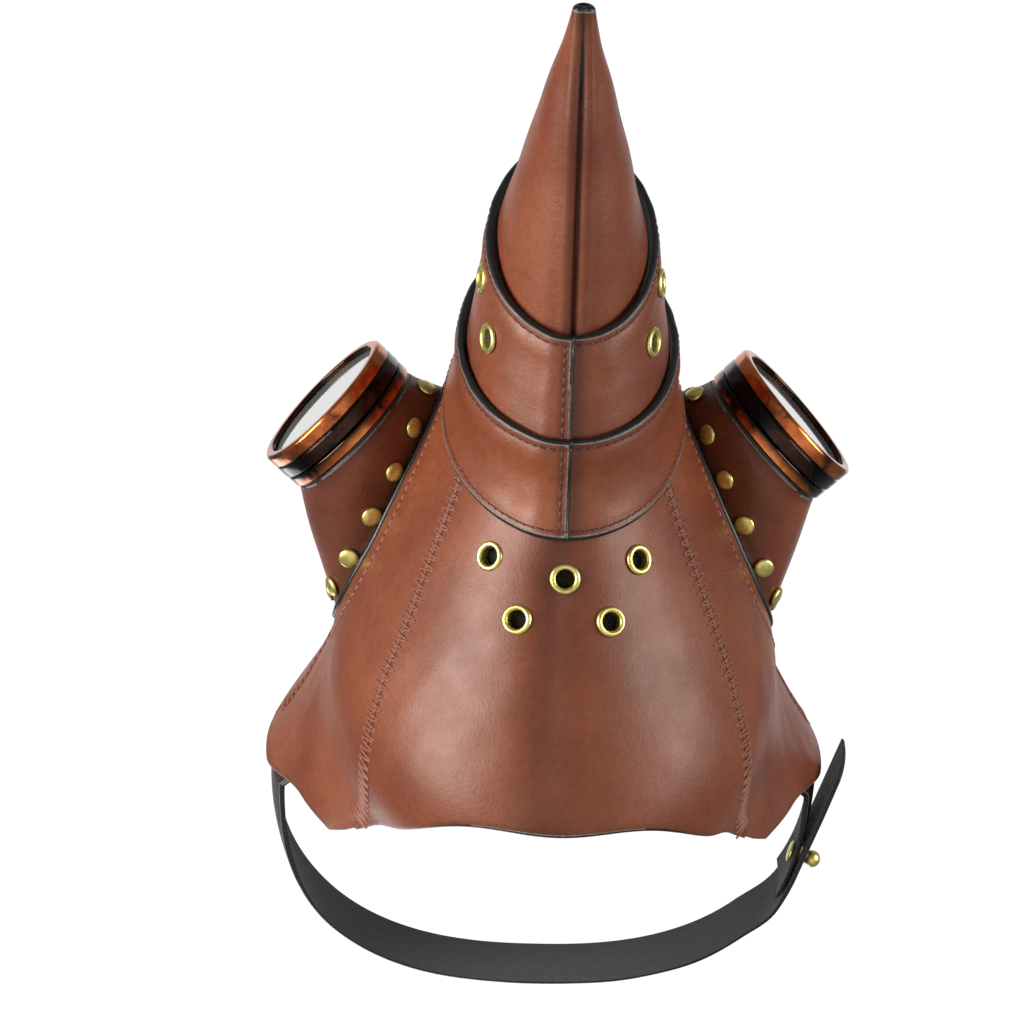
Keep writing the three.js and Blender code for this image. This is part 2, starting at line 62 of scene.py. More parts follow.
# Leather
LEATHER = 2.0
GAP = 0.3
SEAM_GAP_DEG = 0.3
FACE_FRONT = AT_THROAT + 0.15
HEM_BROW, HEM_CHIN_DEG, HEM_EAR = 1.95, 53, 0.3
ZIGZAG_DEG, ZIGZAG_REAR_DEG = 60, 49
BROW_SEAM_DEG, BROW_SEAM_REAR_DEG = 118, 100
EDGE_ROUND = 1.6
PAINTED, RAW_LINE = 1.2, 1.65

# Beak
REAR_BAND = {"start": AT_THROAT, "end": AT_COLLAR, "lift_start": 2.8, "lift_end": 4.5}
FRONT_BAND = {"start": AT_COLLAR - 0.16, "end": AT_RIM, "lift_start": 1.2, "lift_end": 1.9}
LAP_DEG = 9
CONE_LEATHER = 1.6
TIP = {"x": -1.1, "y": -298, "z": -66, "radius": 3.4, "wall": 1.5, "tuck": 0.04, "lift": -1.5}

# Eye opening and socket
EYE = {"at": 2.25, "deg": 113.7, "ahead": 0.6, "behind": 0.92, "half_deg": 20}
FLANGE_OUT, FLANGE_DROP, FLANGE_SHARE = 1.15, 0.8, 0.36
FOOT_SCALE, FOOT_LIFT = 0.905, 2.4
CURVE_AHEAD = np.array((0.35, -0.06, 0.4))
CURVE_BEHIND = np.array((0.78, 0.1, 0.05))
RIVET_ROW, RIVET_LIFT, RIVETS_PER_EYE = 5.6, 0.42, 13

# Goggle: depths are measured back from its front face along its axis
GOGGLE_FRONT = np.array((81.9, -129.9, 5.7))
GOGGLE_AXIS = np.array((0.727, -0.678, 0.109))
GOGGLE_AXIS = GOGGLE_AXIS / np.linalg.norm(GOGGLE_AXIS)
RING_RADIUS, RING_SIGHT, RING_LIP, RING_DEPTH = 27.6, 24, 1.6, 10
THREAD_RADIUS, THREAD_PITCH = 25.7, 1.5
LENS_RADIUS, LENS_THICKNESS = 25.2, 2.5
BARREL_BORE, COLLAR_BORE = 19, 23.2
SHOULDER_RADIUS, SHOULDER_FRONT, SHOULDER_BACK = 27.4, 10.6, 14.6
NECK_RADIUS, NECK_BACK = 20.6, 20.4
SOCKET_RADIUS = 26.8
NUT_RADIUS, NUT_DEPTH = 23, 2.2

# Strap
STRAP_LOW_DEG, STRAP_HIGH_DEG = 73, 90
STRAP_DEPTH, LOOP_POWER, STRAIGHT_FROM = 84, 0.82, 0.72
STRAP_INSIDE, STRAP_LIFT, OVERLAP_LIFT = 0.22, -2.4, 2.4
HINGE_DEG, RAMP_FROM_DEG, RAMP_TO_DEG = 45, 44, 31
TAB_END_DEG, STUD_DEG, FREE_LENGTH = 27, 18, 44
SLOT = {"back": 4, "ahead": 7.5, "half": 3.8}

# Thread, and the bead of leather that closes a butt seam
STITCH_PITCH = 3.2
BAND_ROW, LAP_ROW, EYE_ROW = 3.0, 3.2, 9.0
ZIGZAG = {"pitch": 1.75, "sway": 3.9, "radius": 0.46, "rise": 0.42, "hole": 0.26}
THREAD_RINGS, THREAD_SIDES, HOLE_SIDES = 7, 6, 8
CORE_RADIUS, CORE_DEPTH, CORE_SIDES = 0.7, 0.5, 8

# Brass
EYELET = {"radius": 5, "bore": 3, "tube": 3.6, "height": 1, "hole": 3.75}
# Depths of the black disc of painted shade in a band eyelet's bore
SHADE_DISC_FLOOR, SHADE_DISC_TOP = -1.3, -0.85
RIVET = {"radius": 3.6, "height": 1.9, "shank": 1.4}


# ---- small helpers ----

def lerp(a, b, t):
    return a + (b - a) * t


def smooth(x, low, high):
    t = np.clip((x - low) / (high - low), 0, 1)
    return t * t * (3 - 2 * t)


def hump(x, centre, width):
    return np.exp(-(((x - centre) / width) ** 2))


def unit(v):
    return v / np.linalg.norm(v, axis=-1, keepdims=True)


def vec(x, y, z):
    return np.stack(np.broadcast_arrays(x, y, z), -1)


def rgb(red, green, blue):
    """A linear colour from an 8-bit display colour."""
    def linear(c):
        c /= 255
        return c / 12.92 if c <= 0.04045 else ((c + 0.055) / 1.055) ** 2.4
    return (linear(red), linear(green), linear(blue), 1.0)


def ripple(points, wavelength, seed):
    """Smooth noise from -1 to 1 at points in millimetres."""
    rng = np.random.default_rng(seed)
    waves = unit(rng.normal(size=(7, 3))) * 2 * np.pi / wavelength * rng.uniform(0.6, 1.5, (7, 1))
    phases = rng.uniform(0, 2 * np.pi, 7)
    return np.sin(points @ waves.T + phases).sum(-1) / 4


# ---- the head-and-beak surface ----

PADDED = np.vstack([2 * SECTIONS[0] - SECTIONS[1], SECTIONS, 2 * SECTIONS[-1] - SECTIONS[-2]])


def section(at):
    at = np.asarray(at, float)
    i = np.clip(np.floor(at).astype(int), 0, len(SECTIONS) - 2)
    t = (at - i)[..., None]
    a, b, c, d = (PADDED[i + k] for k in range(4))
    slope_in, slope_out = (c - a) / 2, (d - b) / 2
    cubic = 2 * b - 2 * c + slope_in + slope_out
    square = 3 * c - 3 * b - 2 * slope_in - slope_out
    return ((cubic * t + square) * t + slope_in) * t + b


def bare_skin(at, deg):
    at, deg = np.broadcast_arrays(np.asarray(at, float), np.asarray(deg, float))
    low_y, low_z, high_y, high_z, half = np.moveaxis(section(at), -1, 0)
    turn = np.radians(deg)
    up = -np.cos(turn) / 2
    return vec(half * np.sin(turn), (low_y + high_y) / 2 + (high_y - low_y) * up,
               (low_z + high_z) / 2 + (high_z - low_z) * up)


def normal_of(place, a, b, step_a, step_b):
    """Unit normal of the surface place(a, b), from small steps along a and b."""
    along_a = place(a + step_a, b) - place(a - step_a, b)
    along_b = place(a, b + step_b) - place(a, b - step_b)
    return unit(np.cross(along_a, along_b))


def skin_normal(at, deg):
    return normal_of(bare_skin, np.asarray(at, float), np.asarray(deg, float), -0.001, 0.05)


def skin(at, deg, lift):
    lift = np.asarray(lift, float)
    return bare_skin(at, deg) + skin_normal(at, deg) * lift[..., None]


def shell_relief(at, deg):
    """How far the head leather's face stands off a perfect sheet, in millimetres."""
    points = bare_skin(at, deg)
    calm = 0.25 + 0.75 * smooth(at - hem(deg), 0, 0.5)
    fold = -1.3 * hump(deg, -5, 6) * smooth(at, 2.0, 2.3) * (1 - smooth(at, 2.75, 3.0))
    return calm * (0.5 * ripple(points, 60, 3) + 0.12 * ripple(points, 17, 4)) + fold


def shell(at, deg, lift=0.0):
    """A point on the outer face of the head leather."""
    return skin(at, deg, LEATHER + shell_relief(at, deg) + lift)


def hem(deg):
    a = np.abs(deg)
    chin = AT_JAW * np.maximum(1 - (a / HEM_CHIN_DEG) ** 3.5, 0)
    ear = HEM_EAR * (smooth(a, 35, 56) - smooth(a, 66, 84))
    return chin + ear + HEM_BROW * smooth(a, 92, 172)


def zigzag_deg(at):
    return lerp(ZIGZAG_REAR_DEG, ZIGZAG_DEG, np.clip((at - 0.5) / 1.7, 0, 1))


def brow_seam_deg(at):
    return lerp(BROW_SEAM_REAR_DEG, BROW_SEAM_DEG, smooth(at, 0.2, 1.8))


# ---- meshes ----

def make_piece(name, points, faces, materials, kinds=None, sharp_deg=40):
    """A smooth-shaded mesh object from points in millimetres; kinds picks each face's material."""
    mesh = bpy.data.meshes.new(name)
    mesh.from_pydata((np.asarray(points) * MM).tolist(), [], [tuple(int(i) for i in f) for f in faces])
    for material in materials:
        mesh.materials.append(material)
    if kinds is not None:
        mesh.polygons.foreach_set("material_index", np.asarray(kinds, np.int32))
    mesh.update()
    mesh.polygons.foreach_set("use_smooth", np.ones(len(mesh.polygons), bool))
    mesh.set_sharp_from_angle(angle=math.radians(sharp_deg))
    piece = bpy.data.objects.new(name, mesh)
    bpy.context.scene.collection.objects.link(piece)
    return piece


def add_shade(piece, shade):
    """Painted shade from 0 to 1 at each point, for the leather material."""
    attribute = piece.data.attributes.new("shade", "FLOAT", "POINT")
    attribute.data.foreach_set("value", np.asarray(shade, np.float32).ravel())


def settle(piece, body="mask", nodes=()):
    """Says what the piece rides on and which CAD nodes it stands for."""
    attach(piece, body)
    if nodes:
        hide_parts(*nodes)


def join(parts):
    """Several (points, faces, kinds) as one."""
    points, faces, kinds, count = [], [], [], 0
    for p, f, k in parts:
        p = np.asarray(p).reshape(-1, 3)
        points.append(p)
        faces += [[i + count for i in face] for face in f]
        kinds += list(k)
        count += len(p)
    return np.vstack(points), faces, kinds


def cut(piece, cutters):
    """Takes the cutters' volumes out of the piece, with the cutters' material on the new walls."""
    for cutter in cutters:
        change = piece.modifiers.new("cut", "BOOLEAN")
        change.object = cutter
        change.operation = "DIFFERENCE"
        change.solver = "EXACT"
        change.material_mode = "TRANSFER"
    graph = bpy.context.evaluated_depsgraph_get()
    mesh = bpy.data.meshes.new_from_object(piece.evaluated_get(graph))
    piece.modifiers.clear()
    piece.data = mesh
    for cutter in cutters:
        bpy.data.objects.remove(cutter)


def prism(name, ring, axis, reach, material):
    """A closed cutter on a ring of points, reaching both ways along an axis."""
    count = len(ring)
    points = np.vstack([ring - axis * reach, ring + axis * reach])
    walls = [(i, (i + 1) % count, (i + 1) % count + count, i + count) for i in range(count)]
    ends = [tuple(range(count))[::-1], tuple(range(count, 2 * count))]
    piece = make_piece(name, points, walls + ends, [material])
    volume = np.einsum("ij,ij->i", ring - ring.mean(0), np.cross(axis, np.roll(ring, -1, 0) - ring)).sum()
    if volume > 0:
        piece.data.flip_normals()
    return piece


def drill(origin, axis, radius, material, reach=7):
    side, up = frame_of(axis)
    turns = np.linspace(0, 2 * np.pi, 28, endpoint=False)[:, None]
    ring = origin + radius * (np.cos(turns) * side + np.sin(turns) * up)
    return prism("drill", ring, axis, reach, material)


def frame_of(axis):
    """Two unit vectors square to the axis and to each other."""
    helper = np.array((0, 0, 1.0)) if abs(axis[2]) < 0.9 else np.array((1.0, 0, 0))
    side = unit(np.cross(helper, axis))
    return side, np.cross(axis, side)


# ---- turned parts ----

def rounded(profile, radius, steps=4):
    """The closed profile of (radius, height) corners, with each corner turned into a small arc."""
    corners = np.asarray(profile, float)
    out = []
    for k, corner in enumerate(corners):
        before, after = corners[k - 1] - corner, corners[(k + 1) % len(corners)] - corner
        if corner[0] == 0:
            out.append(corner)
            continue
        room = min(radius, 0.45 * np.linalg.norm(before), 0.45 * np.linalg.norm(after))
        start, end = corner + unit(before) * room, corner + unit(after) * room
        for t in np.linspace(0, 1, steps + 1):
            out.append((1 - t) ** 2 * start + 2 * t * (1 - t) * corner + t * t * end)
    return np.array(out)


def turned(profile, origin, axis, segments=64):
    """Points and faces of a closed profile turned about an axis."""
    profile = np.asarray(profile, float)
    side, up = frame_of(axis)
    turns = np.linspace(0, 2 * np.pi, segments, endpoint=False)
    ring = np.cos(turns)[:, None] * side + np.sin(turns)[:, None] * up
    points, rows = [], []
    count = 0
    for r, h in profile:
        centre = origin + axis * h
        made = (centre + r * ring) if r > 0 else centre[None]
        points.append(made)
        rows.append([count + (i % len(made)) for i in range(segments + 1)])
        count += len(made)
    faces = []
    for k in range(len(profile)):
        low, high = rows[k], rows[(k + 1) % len(profile)]
        if low[0] == low[1] and high[0] == high[1]:
            continue
        for i in range(segments):
            corners = [low[i], low[i + 1], high[i + 1], high[i]]
            faces.append([c for n, c in enumerate(corners) if c not in corners[:n]])
    points = np.vstack(points)
    return points, outward(points, faces)


def outward(points, faces):
    """The faces turned so that the closed surface has a positive volume."""
    total = 0.0
    every = max(1, len(faces) // 4000) if len(faces) > 8000 else 1
    for face in faces[::every]:
        a = points[face[0]]
        for i in range(1, len(face) - 1):
            total += a @ np.cross(points[face[i]], points[face[i + 1]])
    return faces if total > 0 else [list(f)[::-1] for f in faces]


# ---- sheets of leather ----

def stops(length, step):
    """Shares from 0 to 1 along a side of that length, closer together at its ends."""
    even = np.linspace(0, 1, max(2, round(length / step)) + 1)
    near = np.array([0.08, 0.25, 0.5, 0.85, 1.25, 1.7, 2.3]) / length
    inner = even[(even > near[-1] * 1.4) & (even < 1 - near[-1] * 1.4)]
    return np.concatenate([[0], near, inner, 1 - near[::-1], [1]])


def run(points, axis):
    """Distance in millimetres along one grid direction, and the whole length of each line."""
    steps = np.linalg.norm(np.diff(points, axis=axis), axis=2)
    lengths = np.cumsum(steps, axis=axis)
    first = np.zeros_like(lengths.take([0], axis=axis))
    lengths = np.concatenate([first, lengths], axis=axis)
    return lengths, lengths.take([-1], axis=axis)


class Sheet:
    """A grid of leather between place(u, v) and the same lifted by its thickness along the normal."""

    def __init__(self, place, us, vs, thickness=LEATHER, closed=False, relief=None, edges="uv"):
        self.closed = closed
        u, v = np.meshgrid(us[:-1] if closed else us, vs, indexing="ij")
        self.u, self.v = u, v
        self.inner, self.normals = place(u, v)
        self.face = self.inner + self.normals * thickness
        across, across_all = run(self.face, 0)
        along, along_all = run(self.face, 1)
        self.from_v0, self.to_v1 = along, along_all - along
        self.from_u0, self.to_u1 = across, across_all - across
        ends = np.minimum(self.from_v0, self.to_v1)
        sides = np.minimum(self.from_u0, self.to_u1) if not closed else np.full(u.shape, np.inf)
        edge = np.full(u.shape, np.inf)
        if "v" in edges:
            edge = np.minimum(edge, ends)
        if "u" in edges:
            edge = np.minimum(edge, sides)
        self.edge = edge
        inside = np.clip(EDGE_ROUND - edge, 0, EDGE_ROUND)
        drop = EDGE_ROUND - np.sqrt(EDGE_ROUND ** 2 - inside ** 2)
        drop = drop + 0.5 * hump(np.minimum(ends, sides), 0, 0.5) * (edge > EDGE_ROUND)
        rise = relief(self) if relief else 0
        self.face = self.face + self.normals * (rise - drop)[..., None]

    def solid(self):
        """Points, faces and each face's kind: 0 leather, 1 raw edge, 2 painted edge, 3 lining."""
        rows, cols = self.u.shape
        count = rows * cols
        index = np.arange(count).reshape(rows, cols)
        if self.closed:
            index = np.vstack([index, index[:1]])
        quads = np.stack([index[:-1, :-1], index[1:, :-1], index[1:, 1:], index[:-1, 1:]], -1)
        edge = np.take(self.edge.ravel(), quads).mean(-1).ravel()
        quads = quads.reshape(-1, 4)
        face_kinds = np.where(edge < PAINTED, 2, np.where(edge < RAW_LINE, 1, 0))
        loops = [index[:, 0], index[:, -1][::-1]]
        if not self.closed:
            loops += [index[0][::-1], index[-1]]
        walls = [np.stack([a[:-1], a[:-1] + count, a[1:] + count, a[1:]], -1) for a in loops]
        walls = np.concatenate(walls)
        faces = np.concatenate([quads, quads[:, ::-1] + count, walls])
        kinds = np.concatenate([face_kinds, np.full(len(quads), 3), np.full(len(walls), 2)])
        points = np.concatenate([self.face.reshape(-1, 3), self.inner.reshape(-1, 3)])
        return points, outward(points, faces.tolist()), kinds

    def piece(self, name, materials, shade=None):
        points, faces, kinds = self.solid()
        made = make_piece(name, points, faces, materials, kinds)
        # The shade values are painted shade, darkening the leather where shade falls.
        painted_shade = shade if shade is not None else np.zeros(self.u.shape)
        add_shade(made, np.concatenate([painted_shade.ravel(), np.zeros(painted_shade.size)]))
        return made

    def row(self, side, distance):
        """Points and normals on the face at a distance from one side: u0, u1, v0 or v1."""
        measure = {"u0": self.from_u0, "u1": self.to_u1, "v0": self.from_v0, "v1": self.to_v1}[side]
        face, normals = self.face, self.normals
        if side[0] == "u":
            measure, face, normals = measure.T, face.swapaxes(0, 1), normals.swapaxes(0, 1)
        points, ups = [], []
        for line, p, n in zip(measure, face, normals):
            order = slice(None) if line[0] < line[-1] else slice(None, None, -1)
            points.append([np.interp(distance, line[order], p[order, k]) for k in range(3)])
            ups.append([np.interp(distance, line[order], n[order, k]) for k in range(3)])
        return np.array(points), unit(np.array(ups))


def groove(distance, centre, depth, width):
    return -depth * hump(distance, centre, width)


# ---- thread ----

def sample(path, ups, at):
    """Points, up vectors and directions at distances along a path."""
    steps = np.linalg.norm(np.diff(path, axis=0), axis=1)
    run_length = np.concatenate([[0], np.cumsum(steps)])
    points = np.stack([np.interp(at, run_length, path[:, k]) for k in range(3)], -1)
    normals = unit(np.stack([np.interp(at, run_length, ups[:, k]) for k in range(3)], -1))
    ahead = np.stack([np.interp(at + 0.2, run_length, path[:, k]) for k in range(3)], -1)
    behind = np.stack([np.interp(at - 0.2, run_length, path[:, k]) for k in range(3)], -1)
    return points, normals, unit(ahead - behind)


def stitch_row(path, ups, pitch=STITCH_PITCH, sway=0.0, radius=0.4, rise=0.22,
               start=0.0, end=0.0, hole=0.76):
    """One row of stitches along a path: thread tubes, and dark discs at their ends as painted shade of the
    needle holes.
    """
    length = np.linalg.norm(np.diff(path, axis=0), axis=1).sum() - start - end
    count = max(1, int(length / pitch))
    pitch = length / count
    k = np.arange(count)[:, None]
    t = np.linspace(0, 1, THREAD_RINGS)[None]
    at = start + (k + 0.13 + 0.74 * t) * pitch
    points, normals, ahead = sample(path, ups, at)
    lateral = np.cross(normals, ahead)
    flip = np.where(k % 2 == 0, 1.0, -1.0)
    offset = sway * flip * (1 - 2 * t)
    height = rise * np.sin(np.pi * t) ** 0.6 - 0.45 * radius
    centre = points + lateral * offset[..., None] + normals * (height + 0 * k)[..., None]
    along = unit(np.gradient(centre, axis=1))
    wide = unit(np.cross(normals, along))
    turns = np.linspace(0, 2 * np.pi, THREAD_SIDES, endpoint=False)
    thin = radius * (0.72 + 0.28 * np.sin(np.pi * t) ** 0.5) + 0 * k
    ring = wide[..., None, :] * np.cos(turns)[:, None] + normals[..., None, :] * np.sin(turns)[:, None]
    tube = centre[..., None, :] + ring * thin[..., None, None]
    threads = tube_faces(count, THREAD_RINGS, THREAD_SIDES)
    ends = start + np.arange(count + 1) * pitch
    hole_points, hole_faces = needle_holes(path, ups, ends, sway, hole)
    return join([(tube, threads, [0] * len(threads)), (hole_points, hole_faces, [1] * len(hole_faces))])


def tube_faces(count, rings, sides):
    faces = []
    for n in range(count):
        first = n * rings * sides
        for i in range(rings - 1):
            for j in range(sides):
                a, b = first + i * sides + j, first + i * sides + (j + 1) % sides
                faces.append([a, b, b + sides, a + sides])
        faces.append([first + j for j in range(sides)][::-1])
        faces.append([first + (rings - 1) * sides + j for j in range(sides)])
    return faces


# Dark discs at the stitch ends, painted shade of the needle holes.
def needle_holes(path, ups, at, sway, size):
    points, normals, ahead = sample(path, ups, at)
    lateral = np.cross(normals, ahead)
    flip = np.where(np.arange(len(at)) % 2 == 0, 1.0, -1.0)[:, None]
    centre = points + lateral * sway * flip
    turns = np.linspace(0, 2 * np.pi, HOLE_SIDES, endpoint=False)[:, None]
    ring = (ahead[:, None] * np.cos(turns) + lateral[:, None] * np.sin(turns)) * size
    low = centre[:, None] + ring - normals[:, None] * 0.3
    high = centre[:, None] + ring * 0.8 + normals[:, None] * 0.05
    faces = tube_faces(len(at), 2, HOLE_SIDES)
    return np.stack([low, high], 1), faces


def sew(name, rows, yarn=None):
    """One piece that holds several rows of stitches."""
    points, faces, kinds = join(rows)
    settle(make_piece(name, points, faces, [yarn or THREAD, NEEDLE_HOLE], kinds, 60))


# ---- materials ----

class Look:
    """A material with one Principled shader, and short ways to add nodes to it."""

    def __init__(self, name, **values):
        self.material = bpy.data.materials.new(name)
        self.material.use_nodes = True
        self.nodes = self.material.node_tree.nodes
        self.links = self.material.node_tree.links
        self.shader = self.nodes["Principled BSDF"]
        for key, value in values.items():
            self.shader.inputs[key.replace("_", " ")].default_value = value
        self.place = self.add("ShaderNodeTexCoord").outputs["Object"]

    def give(self, socket, value):
        if isinstance(value, bpy.types.NodeSocket):
            self.links.new(value, socket)
        else:
            socket.default_value = value

    def add(self, kind, **inputs):
        node = self.nodes.new(kind)
        for key, value in inputs.items():
            self.give(node.inputs[key], value)
        return node

    def noise(self, scale, detail=3.0, roughness=0.55, place=None):
        return self.add("ShaderNodeTexNoise", Vector=place or self.place, Scale=scale,
                        Detail=detail, Roughness=roughness).outputs["Fac"]

    def cells(self, scale, feature="F1"):
        node = self.add("ShaderNodeTexVoronoi", Vector=self.place, Scale=scale)
        node.feature = feature
        return node.outputs["Distance"]

    def stretched(self, x, y, z):
        return self.add("ShaderNodeMapping", Vector=self.place, Scale=(x, y, z)).outputs["Vector"]

    def ramp(self, value, *steps):
        node = self.add("ShaderNodeValToRGB", Fac=value)
        stops_ = node.color_ramp.elements
        while len(stops_) < len(steps):
            stops_.new(0.5)
        for stop, (position, colour) in zip(stops_, steps):
            stop.position = position
            stop.color = colour if hasattr(colour, "__len__") else (colour, colour, colour, 1)
        return node.outputs["Color"]

    def mix(self, share, a, b):
        node = self.nodes.new("ShaderNodeMix")
        node.data_type = "RGBA"
        for index, value in ((0, share), (6, a), (7, b)):
            self.give(node.inputs[index], value)
        return node.outputs[2]

    def math(self, operation, a, b):
        node = self.nodes.new("ShaderNodeMath")
        node.operation = operation
        for socket, value in zip(node.inputs, (a, b)):
            self.give(socket, value)
        return node.outputs[0]

    def shade(self):
        """The piece's painted shade, from add_shade."""
        node = self.nodes.new("ShaderNodeAttribute")
        node.attribute_name = "shade"
        return node.outputs["Fac"]

    def bump(self, *layers):
        """Bump from (height, strength, distance in metres) layers, each on top of the last."""
        normal = None
        for height, strength, distance in layers:
            node = self.add("ShaderNodeBump", Height=height, Strength=strength, Distance=distance)
            if normal:
                self.links.new(normal, node.inputs["Normal"])
            normal = node.outputs["Normal"]
        self.links.new(normal, self.shader.inputs["Normal"])

    def feed(self, key, value):
        self.links.new(value, self.shader.inputs[key])


def leather(name, dark, base, light, shade_and_speck, coat=0.14):
    """Finished leather: cloudy colour, pebble grain, fine creases, dark specks, and painted shade where the
    piece's shade attribute asks for it.
    """
    look = Look(name, Specular_IOR_Level=0.5, Specular_Tint=(1, 0.8, 0.68, 1), Coat_Weight=coat,
                Coat_Roughness=0.3)
    cloud = look.noise(26, 4, 0.5)
    speck = look.noise(420, 4, 0.6)
    tone = look.ramp(cloud, (0.3, dark), (0.5, base), (0.72, light))
    tone = look.mix(look.ramp(speck, (0.42, 0.0), (0.75, 0.30)), tone, shade_and_speck)
    # Painted shade: the shade attribute darkens the tone towards the dark colour.
    tone = look.mix(look.shade(), tone, shade_and_speck)
    look.feed("Base Color", tone)
    grain = look.cells(1150, "SMOOTH_F1")
    pores = look.noise(2300, 3, 0.6)
    folds = look.noise(1.0, 4, 0.55, look.stretched(160, 45, 160))
    look.bump((folds, 0.22, 0.0006), (grain, 0.28, 0.00022), (pores, 0.22, 0.00012))
    look.feed("Roughness", look.ramp(look.noise(95, 4, 0.6), (0.3, 0.42), (0.75, 0.53)))
    return look.material


def lining():
    look = Look("black_lining", Sheen_Weight=0.25, Sheen_Roughness=0.5)
    fibre = look.noise(1700, 5, 0.7)
    look.feed("Base Color", look.ramp(fibre, (0.3, rgb(9, 9, 10)), (0.75, rgb(27, 25, 25))))
    look.feed("Roughness", look.ramp(fibre, (0.3, 0.85), (0.8, 0.98)))
    look.bump((fibre, 0.5, 0.0004), (look.noise(260, 3), 0.3, 0.0006))
    return look.material


def fibrous(name, texture, colours, rough, bump=None, **values):
    """A material whose colour, roughness and bump all follow one noise texture."""
    look = Look(name, **values)
    fibre = look.noise(*texture)
    look.feed("Base Color", look.ramp(fibre, *colours))
    look.feed("Roughness", look.ramp(fibre, *rough))
    if bump:
        look.bump((fibre, *bump))
    return look.material


def thread(name, dark, light):
    return fibrous(name, (1500, 3, 0.6), ((0.3, dark), (0.7, light)), ((0.3, 0.42), (0.8, 0.62)),
                   (0.5, 0.0003), Sheen_Weight=0.2, Sheen_Roughness=0.4)


def copper():
    """Antique copper: rubbed bright, with drifts of black patina, and black painted where the piece's shade
    attribute asks, as painted reflection and shadow.
    """
    look = Look("antique_copper", Metallic=1.0, Coat_Weight=0.35, Coat_Roughness=0.12)
    drift = look.noise(62, 5, 0.6)
    bright = look.ramp(look.noise(170, 4), (0.3, rgb(168, 78, 34)), (0.55, rgb(220, 120, 58)),
                       (0.8, rgb(246, 168, 104)))
    dark = look.math("ADD", look.ramp(drift, (0.53, 0.0), (0.66, 0.9)), look.shade())
    dark = look.math("MINIMUM", dark, 1.0)
    look.feed("Base Color", look.mix(dark, bright, rgb(15, 10, 9)))
    look.feed("Roughness", look.mix(dark, (0.2, 0.2, 0.2, 1), (0.14, 0.14, 0.14, 1)))
    look.bump((drift, 0.12, 0.0004), (look.noise(900, 3), 0.1, 0.0002))
    return look.material


def brass():
    look = Look("brass", Metallic=1.0, Coat_Weight=0.2, Coat_Roughness=0.1)
    tarnish = look.noise(380, 5, 0.6)
    tone = look.ramp(tarnish, (0.28, rgb(186, 164, 78)), (0.5, rgb(232, 216, 128)), (0.8, rgb(248, 238, 170)))
    look.feed("Base Color", tone)
    look.feed("Roughness", look.ramp(tarnish, (0.3, 0.42), (0.75, 0.3)))
    look.bump((look.noise(1400, 3), 0.15, 0.00015))
    return look.material


def mirror_glass():
    # The lens is part metal and part pale diffuse tone; the pale tone is a painted reflection of a white
    # studio.
    look = Look("mirrored_lens", Metallic=0.7, Coat_Weight=1.0, Coat_Roughness=0.02)
    reflection_cloud = look.noise(60, 4, 0.6)
    look.feed("Base Color", look.ramp(reflection_cloud, (0.3, rgb(204, 206, 202)), (0.8, rgb(216, 218, 213))))
    look.feed("Roughness", look.ramp(look.noise(500, 4), (0.35, 0.05), (0.8, 0.14)))
    return look.material


def liner_cloth():
    look = Look("black_knitted_cloth", Sheen_Weight=0.3, Sheen_Roughness=0.4)
    loops = look.cells(1300)
    look.feed("Base Color", look.ramp(loops, (0.1, rgb(14, 14, 15)), (0.7, rgb(4, 4, 4))))
    look.feed("Roughness", look.ramp(loops, (0.1, 0.85), (0.8, 1.0)))
    look.bump((loops, 0.6, 0.0005))
    return look.material


def pale_floor():
    look = Look("pale_floor", Roughness=0.9)
    tone = look.ramp(look.noise(3, 3), (0.3, rgb(236, 235, 232)), (0.8, rgb(243, 242, 240)))
    look.feed("Base Color", tone)
    return look.material


BROWN = leather("brown_leather", rgb(104, 47, 25), rgb(118, 58, 33), rgb(132, 70, 43), rgb(54, 16, 6), 0.12)
# The socket leather is the brown leather in darker tones, a painted shade for the deep valley round each
# goggle.
SOCKET_BROWN = leather("socket_leather", rgb(80, 33, 17), rgb(104, 49, 29), rgb(124, 65, 42), rgb(34, 9, 3))
STRAP_BLACK = leather("strap_leather", rgb(22, 17, 15), rgb(32, 25, 22), rgb(44, 35, 30), rgb(12, 9, 8))
LINING = lining()
EDGE = fibrous(
    "black_edge_paint", (700, 4, 0.65), ((0.3, rgb(6, 9, 9)), (0.8, rgb(22, 22, 21))),
    ((0.3, 0.32), (0.8, 0.52)), (0.35, 0.0003), Coat_Weight=0.2, Coat_Roughness=0.3)
RAW = fibrous(
    "raw_leather_edge", (900, 5, 0.7),
    ((0.3, rgb(70, 60, 54)), (0.5, rgb(112, 102, 94)), (0.75, rgb(150, 140, 132))),
    ((0.3, 0.6), (0.8, 0.85)), (0.5, 0.0003))
THREAD = thread("tan_thread", rgb(104, 48, 30), rgb(150, 88, 62))
DARK_THREAD = thread("dark_thread", rgb(62, 20, 12), rgb(104, 44, 30))
# Needle holes: a dark colour painted as the shade inside each hole.
NEEDLE_HOLE = fibrous(
    "needle_hole", (1200, 3), ((0.3, rgb(46, 16, 8)), (0.7, rgb(74, 30, 18))), ((0.3, 0.7), (0.8, 0.95)))
COPPER = copper()
BRASS = brass()
MIRROR = mirror_glass()
ENAMEL = fibrous(
    "black_enamel", (300, 5, 0.65),
    ((0.35, rgb(9, 8, 9)), (0.66, rgb(22, 18, 17)), (0.8, rgb(96, 52, 30))),
    ((0.3, 0.14), (0.8, 0.34)), (0.2, 0.0002), Coat_Weight=0.8, Coat_Roughness=0.05)
CLOTH = liner_cloth()
SKIN = [BROWN, RAW, EDGE, LINING]
SOCKET_SKIN = [SOCKET_BROWN, RAW, EDGE, LINING]
STRAP_SKIN = [STRAP_BLACK, RAW, EDGE, LINING]


# ---- eyes ----

